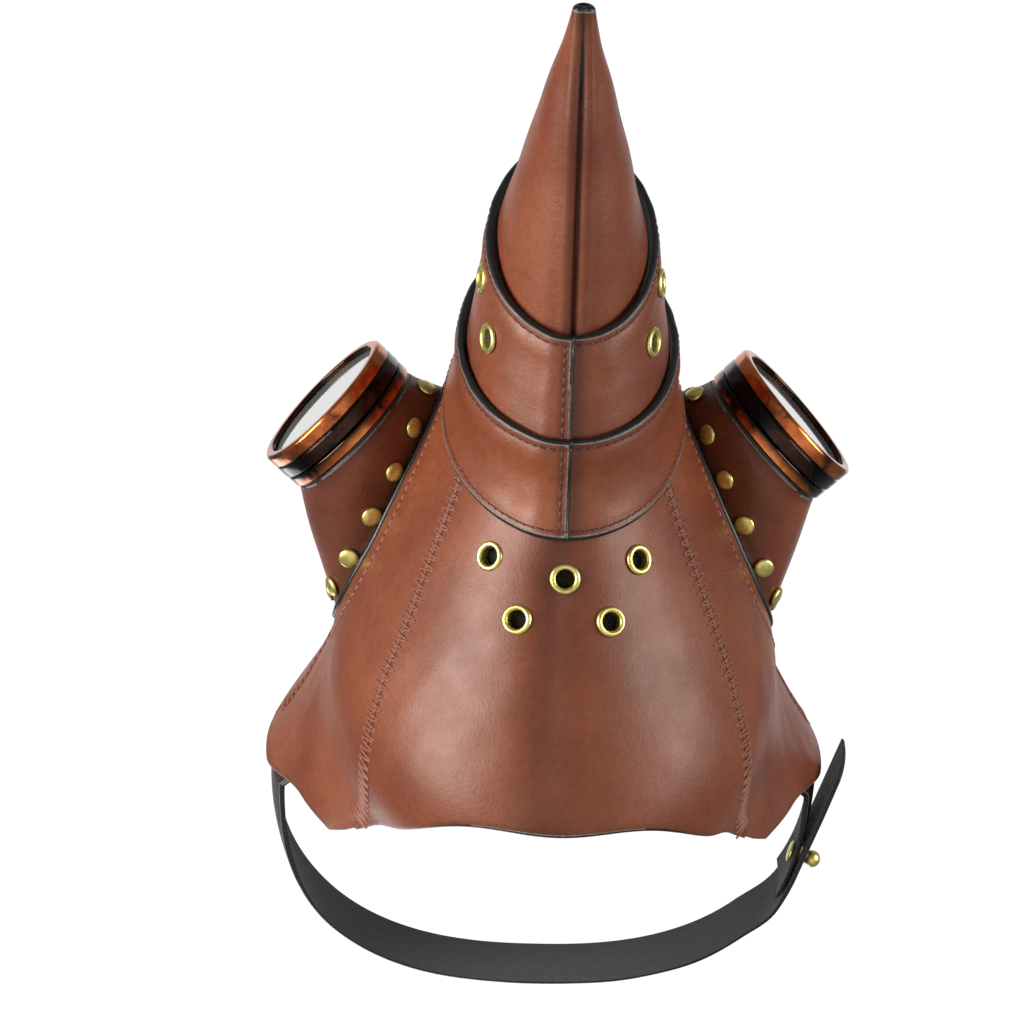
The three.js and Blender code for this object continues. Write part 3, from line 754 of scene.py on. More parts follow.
def eye_at(turn, scale, beyond=0.0):
    """Place (at, deg) on the eye opening's rim, or beyond it by that many millimetres."""
    turn = np.radians(turn)
    half_at = np.where(np.cos(turn) > 0, EYE["ahead"], EYE["behind"])
    at = EYE["at"] + scale * half_at * np.cos(turn)
    deg = EYE["deg"] + scale * EYE["half_deg"] * np.sin(turn)
    if np.any(beyond):
        per_at = np.linalg.norm(bare_skin(at + 0.01, deg) - bare_skin(at - 0.01, deg), axis=-1) / 0.02
        per_deg = np.linalg.norm(bare_skin(at, deg + 0.5) - bare_skin(at, deg - 0.5), axis=-1)
        out_at = EYE["half_deg"] * np.cos(turn) * per_deg
        out_deg = half_at * np.sin(turn) * per_at
        size = np.hypot(out_at, out_deg)
        at = at + beyond * out_at / size / per_at
        deg = deg + beyond * out_deg / size / per_deg
    return at, deg


def eye_rim(side, turn, scale, lift):
    at, deg = eye_at(turn, scale)
    return skin(at, side * deg, lift + 0 * at)


def eye_normal(side):
    return skin_normal(EYE["at"], side * EYE["deg"])


def mirrored(v, side):
    return v * np.array((side, 1, 1))


def goggle_axis(side):
    return mirrored(GOGGLE_AXIS, side)


def goggle_at(side, depth):
    return mirrored(GOGGLE_FRONT, side) - goggle_axis(side) * depth


def mouth_point(side, turn, radius, depth):
    forward = unit(np.array((side * GOGGLE_AXIS[1], -GOGGLE_AXIS[0], 0)))
    up = np.cross(forward, goggle_axis(side)) * side
    turn = np.radians(turn)[..., None]
    return goggle_at(side, depth) + radius * (forward * np.cos(turn) + up * np.sin(turn))


def socket_face(side, turn, v):
    """Outer face of the socket: from under the head shell, up past its edge, to the goggle."""
    turn, v = np.broadcast_arrays(np.asarray(turn, float), np.asarray(v, float))
    k = np.clip(v / FLANGE_SHARE, 0, 1)
    lift = lerp(-FLANGE_DROP, FOOT_LIFT, smooth(k, 0.68, 1))
    flange = eye_rim(side, turn, lerp(FLANGE_OUT, FOOT_SCALE, k), lift)
    foot = eye_rim(side, turn, FOOT_SCALE, FOOT_LIFT)
    mouth = mouth_point(side, turn, SOCKET_RADIUS, SHOULDER_BACK + GAP)
    reach = np.linalg.norm(mouth - foot, axis=-1, keepdims=True)
    behind = (1 - np.cos(np.radians(turn)))[..., None] / 2
    share, bulge, drop = np.moveaxis(lerp(CURVE_AHEAD, CURVE_BEHIND, behind), -1, 0)[..., None]
    rise = lerp(foot, mouth, share) + eye_normal(side) * bulge * reach
    hang = mouth - goggle_axis(side) * drop * reach
    t = np.clip((v - FLANGE_SHARE) / (1 - FLANGE_SHARE), 0, 1)[..., None]
    curve = (1 - t) ** 3 * foot + 3 * t * (1 - t) ** 2 * rise + 3 * t * t * (1 - t) * hang + t ** 3 * mouth
    return np.where((v <= FLANGE_SHARE)[..., None], flange, curve)


def socket_normal(side, turn, v):
    def face(a, b):
        return socket_face(side, a, np.clip(b, 0, 1))
    return normal_of(face, np.asarray(turn, float), np.asarray(v, float), -side * 0.5, 0.01)


def rivet_seats(side):
    turns = np.linspace(0, 360, 181)
    rim = eye_rim(1, turns, FOOT_SCALE, 0)
    passed = np.concatenate([[0], np.cumsum(np.linalg.norm(np.diff(rim, axis=0), axis=1))])
    seats = []
    for k in range(RIVETS_PER_EYE):
        turn = np.interp(passed[-1] * k / RIVETS_PER_EYE, passed, turns)
        vs = np.arange(FLANGE_SHARE, 1, 0.005)
        face = socket_face(side, turn, vs)
        v = vs[np.argmax(np.linalg.norm(face - face[0], axis=1) >= RIVET_ROW)]
        axis = socket_normal(side, turn, v)
        seats.append((socket_face(side, turn, v) + axis * RIVET_LIFT, axis))
    return seats


# ---- leather pieces ----

def panel_place(at_of, deg_of):
    def place(u, v):
        at = at_of(u, v)
        deg = deg_of(u, at)
        return skin(at, deg, 0 * at), skin_normal(at, deg)
    return place


def panel_relief(at_of, deg_of):
    def relief(sheet):
        at = at_of(sheet.u, sheet.v)
        return shell_relief(at, deg_of(sheet.u, at))
    return relief


def panel(name, at_of, deg_of, width, length, cutters, node, extra_shade=None):
    sheet = Sheet(panel_place(at_of, deg_of), stops(width, 1.6), stops(length, 1.6),
                  relief=panel_relief(at_of, deg_of), edges="v")
    seam = np.minimum(sheet.from_u0, sheet.to_u1)
    # Painted shade: darker along the butt seams and along the hem.
    shade = 0.5 * hump(seam, 0, 2.2) + 0.35 * hump(sheet.from_v0, 0, 3.5)
    # Any extra painted shade the panel is given is added on top.
    if extra_shade:
        at = at_of(sheet.u, sheet.v)
        shade = shade + extra_shade(at, deg_of(sheet.u, at))
    made = sheet.piece(name, SKIN, np.clip(shade, 0, 1))
    cut(made, cutters)
    made.data.set_sharp_from_angle(angle=math.radians(40))
    settle(made, nodes=[node])


def eye_cutter(side):
    ring = eye_rim(side, np.linspace(0, 360, 120, endpoint=False), 1, 0)
    return prism("eye_cutter", ring, eye_normal(side), 14, EDGE)


def head_shell():
    def chin_at(u, v):
        return lerp(hem((2 * u - 1) * ZIGZAG_REAR_DEG), FACE_FRONT, v)

    def chin_deg(u, at):
        return (2 * u - 1) * (zigzag_deg(at) - SEAM_GAP_DEG)

    def chin_painted_shade(at, deg):
        # Painted shade: a dark band down the middle of the chin, which the side lamps leave unlit.
        return 0.5 * hump(deg, -4, 9) + 0.3 * hump(deg, -4, 20) * smooth(at, 2.5, 3)

    holes = [drill(seat, axis, EYELET["hole"], EDGE) for seat, axis in CHIN_SEATS]
    panel("chin_leather", chin_at, chin_deg, 116, 120, holes, "chin_panel", chin_painted_shade)

    for word, side in SIDES:
        def cheek_at(u, v):
            return lerp(hem(lerp(ZIGZAG_REAR_DEG, BROW_SEAM_REAR_DEG, u)), FACE_FRONT, v)

        def cheek_deg(u, at, side=side):
            return side * lerp(zigzag_deg(at) + SEAM_GAP_DEG, brow_seam_deg(at) - SEAM_GAP_DEG, u)

        panel("cheek_leather_" + word, cheek_at, cheek_deg, 84, 160, [eye_cutter(side)],
              "cheek_panel_" + word)

    def brow_at(u, v):
        turn = lerp(BROW_SEAM_REAR_DEG, 360 - BROW_SEAM_REAR_DEG, u)
        return lerp(hem(np.minimum(turn, 360 - turn)), FACE_FRONT, v)

    def brow_deg(u, at):
        low = brow_seam_deg(at) + SEAM_GAP_DEG
        return lerp(low, 360 - low, u)

    panel("brow_leather", brow_at, brow_deg, 180, 150, [eye_cutter(1), eye_cutter(-1)], "brow_panel")


def breather_liner():
    """Black cloth glued inside the chin leather, over the backs of the breathing holes."""
    def place(u, v):
        at, deg = lerp(2.5, 2.98, v), 42 * (2 * u - 1)
        return skin(at, deg, -1.8 + 0 * at), skin_normal(at, deg)

    sheet = Sheet(place, stops(60, 1.5), stops(24, 1.5), 0.8)
    made = make_piece("breather_cloth", *sheet.solid()[:2], [CLOTH])
    settle(made, nodes=["breather_liner"])


def band(name, spec, node, seats=()):
    """A strip wrapped round the beak, whose end laps over its start under the beak."""
    def place(u, v):
        turn = lerp(-LAP_DEG, 361, u)
        at = lerp(spec["start"], spec["end"], v)
        lift = lerp(spec["lift_start"], spec["lift_end"], v)
        lift = lift + 1.9 * smooth(turn, 361 - 3.2 * LAP_DEG, 361 - 1.3 * LAP_DEG) - 0.1
        return skin(at, turn, lift), skin_normal(at, turn)

    def relief(sheet):
        pulse = 0.75 + 0.25 * np.cos(2 * np.pi * sheet.from_u0 / STITCH_PITCH)
        rows = groove(sheet.to_v1, BAND_ROW, 0.3, 0.9) + groove(sheet.from_v0, BAND_ROW, 0.3, 0.9)
        lap = groove(sheet.to_u1, LAP_ROW, 0.3, 0.9)
        puff = 0.35 * hump(sheet.to_v1, 7, 3.5)
        return rows * pulse + lap + puff + 0.35 * ripple(sheet.face, 42, 8) + 0.1 * ripple(sheet.face, 13, 9)

    length = 2 * np.pi * (section(spec["start"])[4] + 12)
    sheet = Sheet(place, stops(length, 1.1), stops(44, 1.1), relief=relief)
    edge = np.minimum(sheet.from_v0, sheet.to_v1)
    turn = lerp(-LAP_DEG, 361, sheet.u)
    # Painted shade: darker near both edges, along the lap's stitch row and just past the lap's end under the
    # beak.
    shade = 0.3 * hump(edge, 0, 3) + 0.45 * hump(sheet.to_u1, LAP_ROW, 1.6) + 0.5 * hump(turn, 4, 5)
    made = sheet.piece(name, SKIN, np.clip(shade, 0, 1))
    if seats:
        cut(made, [drill(seat, axis, EYELET["hole"], EDGE) for seat, axis in seats])
    settle(made, nodes=[node])
    rows = [
        stitch_row(*sheet.row("v1", BAND_ROW)),
        stitch_row(*sheet.row("v0", BAND_ROW)),
        stitch_row(*sheet.row("u1", LAP_ROW), start=BAND_ROW + 1, end=BAND_ROW + 1),
    ]
    sew(name + "_stitches", rows, yarn=DARK_THREAD)


def tip_end(turn, radius):
    turn = np.radians(turn)
    return vec(TIP["x"] + radius * np.sin(turn), TIP["y"], TIP["z"] - radius * np.cos(turn))


def beak_tip():
    """The cone: two leather halves with a turned seam along the underside."""
    def place(u, v):
        turn = 360 * u
        base = skin(AT_RIM, turn, TIP["lift"] + 0 * u)
        radius = TIP["radius"] - TIP["wall"]
        reach = lerp(-TIP["tuck"], 1, v)[..., None]
        over = skin(AT_RIM, turn, TIP["lift"] + LEATHER + 0 * u)
        outer = lerp(over, tip_end(turn, TIP["radius"]), reach)
        inner = lerp(base, tip_end(turn, radius), reach)
        return inner, unit(outer - inner)

    def relief(sheet):
        turn = (360 * sheet.u + 180) % 360 - 180
        fade = smooth(sheet.to_v1, 0, 30)
        arc = turn / 57.3 * lerp(28.0, TIP["radius"], sheet.v)
        seam = -1.5 * hump(arc, 0, 1.3) + 0.8 * hump(np.abs(arc), 3.6, 2)
        pinch = -0.75 * hump(sheet.to_v1, 14, 16)
        return seam * (0.45 + 0.55 * fade) + pinch + 0.3 * fade * ripple(sheet.face, 45, 12)

    near_seam = np.linspace(0, 0.05, 24), np.linspace(0.95, 1, 24)
    us = np.unique(np.concatenate([np.linspace(0, 1, 121), *near_seam]))
    sheet = Sheet(place, us, stops(105, 1.8), CONE_LEATHER, closed=True, relief=relief)
    turn = (360 * sheet.u + 180) % 360 - 180
    arc = turn / 57.3 * lerp(28.0, TIP["radius"], sheet.v)
    # Painted shade: darker in the fold of the underside seam and towards the open end of the tip.
    shade = 0.6 * hump(arc, 0, 1.4) + 0.35 * hump(arc, 0, 6) + 0.4 * hump(sheet.to_v1, 0, 5)
    made = sheet.piece("beak_cone", SKIN, np.clip(shade, 0, 1))
    settle(made, nodes=["beak_tip"])


def eye_socket(word, side):
    def place(u, v):
        normals = socket_normal(side, 360 * u, v)
        return socket_face(side, 360 * u, v) - normals * LEATHER, normals

    def relief(sheet):
        k = smooth(sheet.v, FLANGE_SHARE + 0.1, 0.75) * (1 - smooth(sheet.v, 0.9, 1))
        return 0.5 * k * ripple(sheet.face, 30, 21 + side)

    sheet = Sheet(place, np.linspace(0, 1, 145), stops(52, 1.2), closed=True, relief=relief)
    # Painted shade: darker towards the goggle and in the valley where the socket passes under the cheek
    # leather's edge.
    shade = 0.6 * smooth(sheet.v, 0.82, 1) + 0.35 * hump(sheet.v, FLANGE_SHARE, 0.06)
    lip_profile = [
        (NECK_RADIUS + GAP, -LEATHER), (SOCKET_RADIUS - 0.3, -LEATHER),
        (SOCKET_RADIUS - 0.3, 0), (NECK_RADIUS + GAP, 0),
    ]
    lip_at = goggle_at(side, SHOULDER_BACK + GAP)
    points, faces = turned(rounded(lip_profile, 0.4, 2), lip_at, goggle_axis(side))
    all_points, all_faces, kinds = join([sheet.solid(), (points, faces, [2] * len(faces))])
    made = make_piece("socket_leather_" + word, all_points, all_faces, SOCKET_SKIN, kinds)
    shades = np.zeros(len(all_points))
    shades[:sheet.u.size] = np.clip(shade, 0, 1).ravel()
    add_shade(made, shades)
    settle(made, nodes=["eye_socket_" + word])


def eye_edge(word, side):
    """The painted, rounded edge of the eye opening, with its thin raw line, which is also a painted highlight
    on the socket side.
    """
    turns = np.linspace(0, 360, 200, endpoint=False)
    at, deg = eye_at(turns, 1)
    far_at, far_deg = eye_at(turns, 1, 1.0)
    normals = skin_normal(at, side * deg)
    rim, beyond = skin(at, side * deg, 0 * at), skin(far_at, side * far_deg, 0 * at)
    out = unit(beyond - rim)
    relief = shell_relief(at, side * deg)
    angles = np.linspace(0, 2 * np.pi, 20, endpoint=False)
    wide, tall, power = 1.75, 1.6, 0.7

    def squared(share):
        return np.sign(share) * abs(share) ** power

    shape = [(wide * squared(np.cos(a)), tall * squared(np.sin(a))) for a in angles]
    middle = rim + normals * (LEATHER / 2 + 0.45 + relief)[:, None]
    points = np.stack([middle + out * (x - 0.7) + normals * y for x, y in shape], 1)
    count, sides = points.shape[:2]
    faces, kinds = [], []
    for i in range(count):
        for j in range(sides):
            n, m = (i + 1) % count, (j + 1) % sides
            faces.append([i * sides + j, n * sides + j, n * sides + m, i * sides + m])
            # Faces 7 and 8 round the bead are raw-edge grey, partly a painted highlight.
            kinds.append(1 if j in (7, 8) else 0)
    points = points.reshape(-1, 3)
    settle(make_piece("eye_edge_" + word, points, outward(points, faces), [EDGE, RAW], kinds))


def eye_stitches(word, side):
    turns = np.linspace(0, 360, 240)
    at, deg = eye_at(turns, 1, EYE_ROW)
    path, ups = shell(at, side * deg), skin_normal(at, side * deg)
    sew("eye_stitches_" + word, [stitch_row(path, ups)])


def seam_core(path, ups):
    """The closed line of a butt seam, where the two leather edges press together."""
    wide = unit(np.cross(ups, np.gradient(path, axis=0)))
    turns = np.linspace(0, 2 * np.pi, CORE_SIDES, endpoint=False)[:, None]
    ring = wide[:, None] * np.cos(turns) + ups[:, None] * np.sin(turns)
    tube = (path - ups * CORE_DEPTH)[:, None] + CORE_RADIUS * ring
    faces = tube_faces(1, len(path), CORE_SIDES)
    return tube, faces, [0] * len(faces)


def seam_runs(deg_of, start, end, clear):
    """The stretches of a seam that lie outside the eye opening, scaled up by the factor clear."""
    at = np.linspace(start, end, 320)
    half_at = np.where(at > EYE["at"], EYE["ahead"], EYE["behind"])
    outside = np.hypot((at - EYE["at"]) / half_at, (deg_of(at) - EYE["deg"]) / EYE["half_deg"]) > clear
    runs = np.split(np.arange(len(at)), np.flatnonzero(np.diff(outside)) + 1)
    return [at[run] for run in runs if outside[run[0]] and len(run) > 3]


def seam_stitches(word, side):
    """Zigzag stitching that closes the butt seams of the head shell."""
    rows, cores = [], []
    for deg_of, rear in ((zigzag_deg, ZIGZAG_REAR_DEG), (brow_seam_deg, BROW_SEAM_REAR_DEG)):
        start, end = float(hem(rear)), AT_THROAT + 0.02
        for at in seam_runs(deg_of, start + 0.03, end, 1.02):
            deg = side * deg_of(at)
            cores.append(seam_core(shell(at, deg), skin_normal(at, deg)))
        for at in seam_runs(deg_of, start + 0.17, end, 1.12):
            deg = side * deg_of(at)
            rows.append(stitch_row(shell(at, deg), skin_normal(at, deg), **ZIGZAG))
    sew("seam_stitches_" + word, rows)
    points, faces, kinds = join(cores)
    settle(make_piece("seam_cores_" + word, points, faces, [BROWN], kinds, 60))


# ---- brass ----

def band_lift(spec, at):
    return lerp(spec["lift_start"], spec["lift_end"], (at - spec["start"]) / (spec["end"] - spec["start"]))


def seats_on(places, lift_of):
    return [(skin(at, deg, lift_of(at)), skin_normal(at, deg)) for at, deg in places]


CHIN_SEATS = seats_on([(2.84, 0), (2.83, 33.5), (2.83, -33.5), (2.68, 18), (2.68, -18)], lambda at: LEATHER)
BAND_SEATS = seats_on([(4.48, 59), (4.48, -59), (4.74, 80), (4.74, -80)],
                      lambda at: band_lift(FRONT_BAND, at) + LEATHER)


def brass_piece(name, points, faces, node, sharp_deg):
    settle(make_piece(name, points, faces, [BRASS], None, sharp_deg), nodes=[node])


def eyelet(name, seat, node, dark_bore=False):
    """A brass eyelet; one that opens onto leather has a black disc in its bore as painted shade of the hole.
    """
    origin, axis = seat
    radius, bore, tube, height = EYELET["radius"], EYELET["bore"], EYELET["tube"], EYELET["height"]
    crown = [(bore + (radius - bore) * (0.5 - 0.5 * math.cos(a)), 0.15 + height * math.sin(a))
             for a in np.linspace(0, math.pi, 13)]
    back = [(radius - 0.3, -LEATHER - 0.25), (radius - 0.3, -LEATHER - 0.6), (bore, -LEATHER - 0.6)]
    profile = crown + [(tube, 0.0), (tube, -LEATHER - 0.25)] + back
    points, faces = turned(profile, origin, axis, 40)
    brass_piece(name, points, faces, node, 50)
    # The black disc is painted shade, darkening the hole where the leather beneath would show.
    if dark_bore:
        edge = bore - 0.05
        disc = [(0, SHADE_DISC_TOP), (edge, SHADE_DISC_TOP), (edge, SHADE_DISC_FLOOR), (0, SHADE_DISC_FLOOR)]
        points, faces = turned(disc, origin, axis, 28)
        settle(make_piece(name + "_shade_disc", points, faces, [LINING]))


def rivet(name, seat, node):
    origin, axis = seat
    radius, height = RIVET["radius"], RIVET["height"]
    dome = [(radius * math.sin(a), 0.2 + (height - 0.5) * math.cos(a) ** 0.7)
            for a in np.linspace(0, 1.5, 10)]
    profile = dome + [(radius, 0.1), (radius - 0.3, -0.25), (RIVET["shank"], -0.25),
                      (RIVET["shank"], -LEATHER - 1.2), (2.2, -LEATHER - 1.2), (2.2, -LEATHER - 1.5),
                      (0, -LEATHER - 1.9)]
    points, faces = turned(profile, origin, axis, 32)
    brass_piece(name, points, faces, node, 50)


# ---- goggles ----

def ring_piece(name, side, profile, material, body, node, round_by=0.35, dark=None):
    """A turned part of the goggle from (radius, depth) corners."""
    fine = rounded(profile, round_by)
    fine[:, 1] *= -1
    points, faces = turned(fine, goggle_at(side, 0), goggle_axis(side), 112)
    made = make_piece(name, points, faces, [material], None, 35)
    shade = np.zeros(len(points))
    # dark paints black onto chosen bands of the part: painted reflection and painted shadow.
    if dark:
        local = points - goggle_at(side, 0)
        depth = -(local @ goggle_axis(side))
        radius = np.linalg.norm(local + depth[:, None] * goggle_axis(side), axis=1)
        shade = dark(radius, depth)
    add_shade(made, shade)
    settle(made, body, [node])


def goggle(word, side):
    carrier, screw = "lens_carrier_" + word, "screw_ring_" + word
    lens_front = RING_LIP + GAP
    lens_back = lens_front + LENS_THICKNESS
    collar_front = lens_back + GAP
    collar_back = SHOULDER_FRONT - GAP
    bore = THREAD_RADIUS + GAP

    # The ring's side behind 4.5 mm is painted black as a painted reflection, and the inside of its front lip
    # as a painted shadow next to the lens.
    ring_piece("screw_ring_" + word + "_body", side, [
        (RING_SIGHT, 0.5), (RING_SIGHT + 0.5, 0), (RING_RADIUS - 0.9, 0), (RING_RADIUS, 0.9),
        (RING_RADIUS, 4.6), (RING_RADIUS - 0.5, 4.9), (RING_RADIUS - 0.5, 5.3), (RING_RADIUS, 5.6),
        (RING_RADIUS, RING_DEPTH), (bore, RING_DEPTH), (bore, RING_LIP), (RING_SIGHT, RING_LIP),
    ], COPPER, screw, "lens_ring_" + word, 0.3,
        dark=lambda r, d: np.where((d > 4.5) | (r < RING_SIGHT + 0.3), 0.95, 0.0))

    dome = [(LENS_RADIUS * k, lens_front + 0.2 * k * k) for k in np.linspace(0, 0.98, 9)]
    lens_profile = dome + [(LENS_RADIUS, lens_front + 0.5), (LENS_RADIUS, lens_back), (0, lens_back)]
    ring_piece("mirror_lens_" + word, side, lens_profile, MIRROR, carrier, "lens_" + word, 0.1)

    crests = []
    for k in range(int((collar_back - collar_front - 1) / THREAD_PITCH)):
        start = collar_front + 0.5 + THREAD_PITCH * k
        crests += [(THREAD_RADIUS, start), (THREAD_RADIUS, start + 0.5),
                   (THREAD_RADIUS - 0.7, start + 0.75), (THREAD_RADIUS - 0.7, start + 1.1)]
    ring_piece("threaded_collar_" + word + "_body", side, [
        (COLLAR_BORE, collar_front), *crests, (THREAD_RADIUS, collar_back), (COLLAR_BORE, collar_back),
    ], ENAMEL, "mask", "threaded_collar_" + word, 0.1)

    # The shoulder ahead of 12 mm is painted black as a painted reflection continuing the black band, and the
    # neck behind the socket lip as painted shade.
    ring_piece("barrel_" + word, side, [
        (COLLAR_BORE, SHOULDER_FRONT), (SHOULDER_RADIUS - 0.5, SHOULDER_FRONT),
        (SHOULDER_RADIUS, SHOULDER_FRONT + 0.5), (SHOULDER_RADIUS, SHOULDER_BACK),
        (NECK_RADIUS, SHOULDER_BACK), (NECK_RADIUS, NECK_BACK), (BARREL_BORE, NECK_BACK),
        (BARREL_BORE, SHOULDER_FRONT + 2),
    ], COPPER, "mask", "goggle_barrel_" + word, 0.3,
        dark=lambda r, d: np.where((d < 12) | (d > SHOULDER_BACK + 1), 0.95, 0.0))

    front = SHOULDER_BACK + GAP + LEATHER + GAP
    nut_bore = NECK_RADIUS + GAP
    ring_piece("clamp_nut_" + word, side, [
        (nut_bore, front), (NUT_RADIUS, front),
        (NUT_RADIUS, front + NUT_DEPTH), (nut_bore, front + NUT_DEPTH),
    ], COPPER, "mask", "barrel_nut_" + word)


# ---- strap ----

def bare_loop(turn, v):
    turn, v = np.broadcast_arrays(np.asarray(turn, float), np.asarray(v, float))
    corner = skin(0 * v, lerp(STRAP_LOW_DEG, STRAP_HIGH_DEG, v), STRAP_LIFT + 0 * v)
    middle = skin(0.0, (STRAP_LOW_DEG + STRAP_HIGH_DEG) / 2, STRAP_LIFT)
    across, back = np.cos(np.radians(turn)), np.sin(np.radians(turn))
    lean = smooth(np.abs(across), STRAIGHT_FROM, 1)
    x = lerp(middle[0], corner[..., 0], lean) * np.sign(across) * np.abs(across) ** LOOP_POWER
    y = lerp(middle[1], corner[..., 1], lean) + STRAP_DEPTH * np.sign(back) * np.abs(back) ** LOOP_POWER
    return vec(x, y, corner[..., 2])


def loop_normal(turn, v=0.5):
    return normal_of(bare_loop, np.asarray(turn, float), np.asarray(v, float), 0.05, 0.01)


def loop(turn, v, lift):
    return bare_loop(turn, v) + loop_normal(turn, v) * lift


def strap_forward():
    out = loop_normal(STUD_DEG)
    return np.array((out[1], -out[0], 0))


def strap_strip(route, length, name, hole):
    """A strap from route(share, v), which gives an inner-face point and its outward normal."""
    sheet = Sheet(route, stops(length, 2.2), stops(30, 1.6), LEATHER * 0.85,
                  relief=lambda s: groove(np.minimum(s.from_v0, s.to_v1), 2.6, 0.25, 0.7)
                  + 0.2 * ripple(s.face, 33, 31))
    made = sheet.piece(name, STRAP_SKIN)
    cut(made, [hole])
    return made


def tucked(side, share, v):
    """The strap's end sewn inside a cheek panel: share 0 at its front and 1 at the corner."""
    deg = lerp(STRAP_LOW_DEG, STRAP_HIGH_DEG, v)
    at = STRAP_INSIDE * (1 - share)
    return skin(at, side * deg, STRAP_LIFT + 0 * at)


def strap_tab():
    tuck, steps = 2, 4

    def route(u, v):
        i = u * (tuck + steps)
        inside = tucked(1, np.clip(i / tuck, 0, 1), v)
        turn = TAB_END_DEG * np.clip((i - tuck) / steps, 0, 1)
        points = np.where((i < tuck)[..., None], inside, loop(turn, v, 0 * turn[..., None]))
        normals = np.where((i < tuck)[..., None], skin_normal(STRAP_INSIDE * (1 - np.clip(i / tuck, 0, 1)),
                           lerp(STRAP_LOW_DEG, STRAP_HIGH_DEG, v)), loop_normal(turn, v))
        return points, normals

    seat = loop(STUD_DEG, 0.5, 0)
    hole = drill(seat, loop_normal(STUD_DEG), 1.3, EDGE)
    made = strap_strip(route, 66, "strap_tab_leather", hole)
    settle(made, nodes=["strap_tab"])


def long_strap():
    """The strap from the right cheek, round the back of the head, to its free buttoned end."""
    tuck_mm = 20.0
    turns = np.linspace(180, STUD_DEG, 400)
    line = loop(turns, 0.5, 0)
    passed = np.concatenate([[0], np.cumsum(np.linalg.norm(np.diff(line, axis=0), axis=1))])
    total = tuck_mm + passed[-1] + FREE_LENGTH
    forward, out = strap_forward(), loop_normal(STUD_DEG)

    def route(u, v):
        s = u * total
        inside_share = np.clip(s / tuck_mm, 0, 1)
        inside = tucked(-1, inside_share, v)
        inside_deg = -lerp(STRAP_LOW_DEG, STRAP_HIGH_DEG, v)
        inside_normal = skin_normal(STRAP_INSIDE * (1 - inside_share), inside_deg)
        turn = np.interp(s - tuck_mm, passed, turns)
        raise_by = OVERLAP_LIFT * smooth(-turn, -RAMP_FROM_DEG, -RAMP_TO_DEG)
        ahead = np.clip(s - tuck_mm - passed[-1], 0, None)
        points = loop(turn, v, raise_by[..., None]) + forward * ahead[..., None]
        before = (s < tuck_mm)[..., None]
        return np.where(before, inside, points), np.where(before, inside_normal, loop_normal(turn, v))

    origin = loop(STUD_DEG, 0.5, OVERLAP_LIFT)
    up = np.cross(out, forward)
    turn = np.radians(np.arange(32) * 360 / 32 + 2)[:, None]
    middle = np.where(np.cos(turn) > 0, SLOT["ahead"] - SLOT["half"], SLOT["half"] - SLOT["back"])
    ring = origin + forward * (middle + SLOT["half"] * np.cos(turn)) + up * SLOT["half"] * np.sin(turn)
    slot_cutter = prism("slot_cutter", ring, out, 6, EDGE)
    made = strap_strip(route, total, "long_strap_leather", slot_cutter)
    hinge = loop(HINGE_DEG, 0.5, 0)
    along = unit(loop(HINGE_DEG - 2, 0.5, 0) - loop(HINGE_DEG + 2, 0.5, 0))
    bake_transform(made)
    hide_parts("strap_band", "strap_end")


def ball_stud():
    neck, base, ball, reach, bore = 1.8, 3.4, 3.2, 8.6, 1.2
    origin, axis = loop(STUD_DEG, 0.5, LEATHER), loop_normal(STUD_DEG)
    centre = reach - ball
    dome = [(ball * math.cos(a), centre + ball * math.sin(a)) for a in np.radians(np.linspace(88, -55, 20))]
    profile = [(0, reach)] + dome + [
        (neck, centre - ball + 0.3), (neck, 1.5), (neck + 0.5, 1.1),
        (base - 0.4, 0.8), (base, 0.5), (base, 0.1),
        (bore, 0.1), (bore, 3), (0, 3),
    ]
    points, faces = turned(profile, origin, axis, 40)
    brass_piece("brass_ball_stud", points, faces, "ball_stud", 50)
    origin = loop(STUD_DEG, 0.5, 0)
    head, radius, depth, drop = 4, 0.95, 1, 0.6
    profile = [(0, LEATHER + 2.6), (radius, LEATHER + 2.6), (radius, -drop), (head, -drop),
               (head, -drop - 0.6 * depth), (head - 1, -drop - depth), (0, -drop - depth)]
    points, faces = turned(rounded(profile, 0.2, 2), origin, axis, 32)
    brass_piece("brass_stud_screw", points, faces, "stud_screw", 40)


# ---- the whole mask ----

head_shell()
breather_liner()
beak_tip()
band("rear_band", REAR_BAND, "beak_band_rear")
band("front_band", FRONT_BAND, "beak_band_front", BAND_SEATS)
for word, side in SIDES:
    eye_socket(word, side)
    eye_edge(word, side)
    eye_stitches(word, side)
    seam_stitches(word, side)
    goggle(word, side)
    for i, seat in enumerate(rivet_seats(side)):
        rivet(f"brass_rivet_{word}_{i + 1}", seat, f"rivet_{word}_{i + 1}")
for i, seat in enumerate(CHIN_SEATS):
    eyelet(f"brass_chin_eyelet_{i + 1}", seat, f"chin_eyelet_{i + 1}")
for i, seat in enumerate(BAND_SEATS):
    eyelet(f"brass_band_eyelet_{i + 1}", seat, f"band_eyelet_{i + 1}", dark_bore=True)
strap_tab()
long_strap()
ball_stud()


# ---- stage ----

VIEW_YAW_DEG, VIEW_BELOW_DEG, VIEW_ROLL_DEG = -5.32, 63.99, -3.35
VIEW_TARGET = np.array((0, -150, -40)) * MM
VIEW_DISTANCE = 1.1
VIEW_LENS_MM = 117.85
VIEW_AIM = (-0.01605, -0.03053)
FLOOR_Z, FLOOR_HALF = -1.6, 6000
WORLD_SEEN, WORLD_LIGHT = 1.05, 0.2
LIGHTS = (
    ("key", (-1.45, -0.5, -0.62), (0, -0.12, -0.02), 0.95, 40),
    ("fill", (1.5, -0.55, -0.5), (0, -0.12, -0.02), 0.9, 21),
    ("top", (0.05, 0.28, 1.35), (0, 0, 0), 1.7, 6),
    ("back", (-0.4, 1.3, 0.5), (0, 0, 0), 1.0, 8),
)


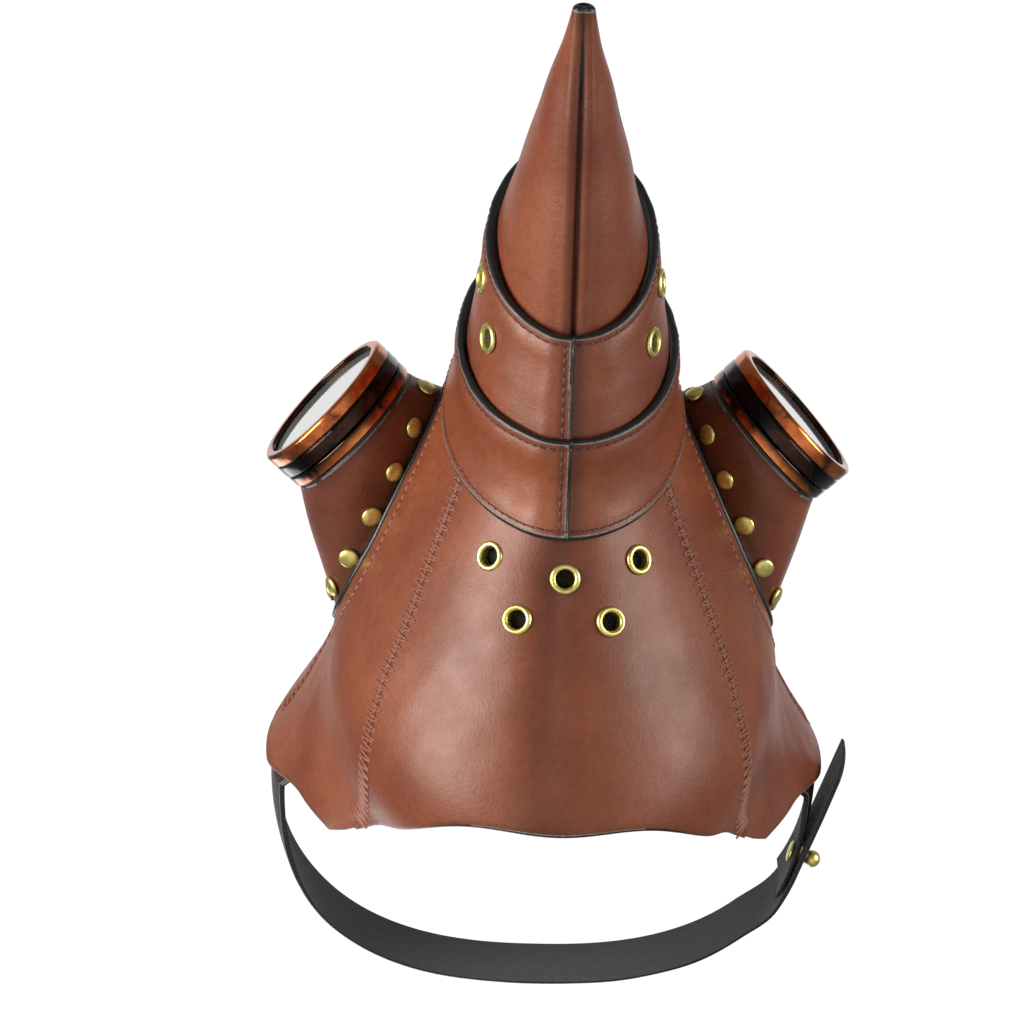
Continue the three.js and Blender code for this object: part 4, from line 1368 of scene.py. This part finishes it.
def photo_camera():
    yaw, below, roll = (math.radians(a) for a in (VIEW_YAW_DEG, VIEW_BELOW_DEG, VIEW_ROLL_DEG))
    level_share = math.cos(below)
    away = np.array((math.sin(yaw) * level_share, -math.cos(yaw) * level_share, -math.sin(below)))
    look = -away
    level = unit(np.cross(look, (0, 0, 1.0)))
    above = np.cross(level, look)
    right = level * math.cos(roll) + above * math.sin(roll)
    up = above * math.cos(roll) - level * math.sin(roll)
    aim = unit(look + VIEW_AIM[0] * right + VIEW_AIM[1] * up)
    right = unit(right - (right @ aim) * aim)
    up = np.cross(right, aim)
    camera = bpy.data.objects.new("camera", bpy.data.cameras.new("camera"))
    camera.data.lens = VIEW_LENS_MM
    camera.data.sensor_width = 36
    camera.data.clip_start, camera.data.clip_end = 0.05, 50
    turn = Matrix(np.stack([right, up, -aim], 1).tolist()).to_4x4()
    camera.matrix_world = Matrix.Translation(Vector(VIEW_TARGET + away * VIEW_DISTANCE)) @ turn
    bpy.context.scene.collection.objects.link(camera)
    bpy.context.scene.camera = camera


def area_light(name, place, target, size, watts):
    light = bpy.data.lights.new(name, "AREA")
    light.size, light.energy = size, watts
    lamp = bpy.data.objects.new(name, light)
    lamp.location = place
    lamp.rotation_mode = "QUATERNION"
    lamp.rotation_quaternion = (Vector(target) - Vector(place)).to_track_quat("-Z", "Y")
    bpy.context.scene.collection.objects.link(lamp)


def stage():
    scene = bpy.context.scene
    scene.view_settings.view_transform = "Standard"
    world = bpy.data.worlds.new("white_studio")
    world.use_nodes = True
    nodes, links = world.node_tree.nodes, world.node_tree.links
    seen, light = nodes["Background"], nodes.new("ShaderNodeBackground")
    for node, strength in ((seen, WORLD_SEEN), (light, WORLD_LIGHT)):
        node.inputs["Color"].default_value = (1, 1, 1, 1)
        node.inputs["Strength"].default_value = strength
    rays = nodes.new("ShaderNodeLightPath")
    mix = nodes.new("ShaderNodeMixShader")
    links.new(rays.outputs["Is Camera Ray"], mix.inputs[0])
    links.new(light.outputs[0], mix.inputs[1])
    links.new(seen.outputs[0], mix.inputs[2])
    links.new(mix.outputs[0], nodes["World Output"].inputs["Surface"])
    scene.world = world
    corners = [(x * FLOOR_HALF, y * FLOOR_HALF, 0) for x, y in ((-1, -1), (1, -1), (1, 1), (-1, 1))]
    floor = make_piece("floor", corners, [(0, 1, 2, 3)], [pale_floor()])
    floor.location.z = FLOOR_Z
    for light_facts in LIGHTS:
        area_light(*light_facts)


photo_camera()
stage()
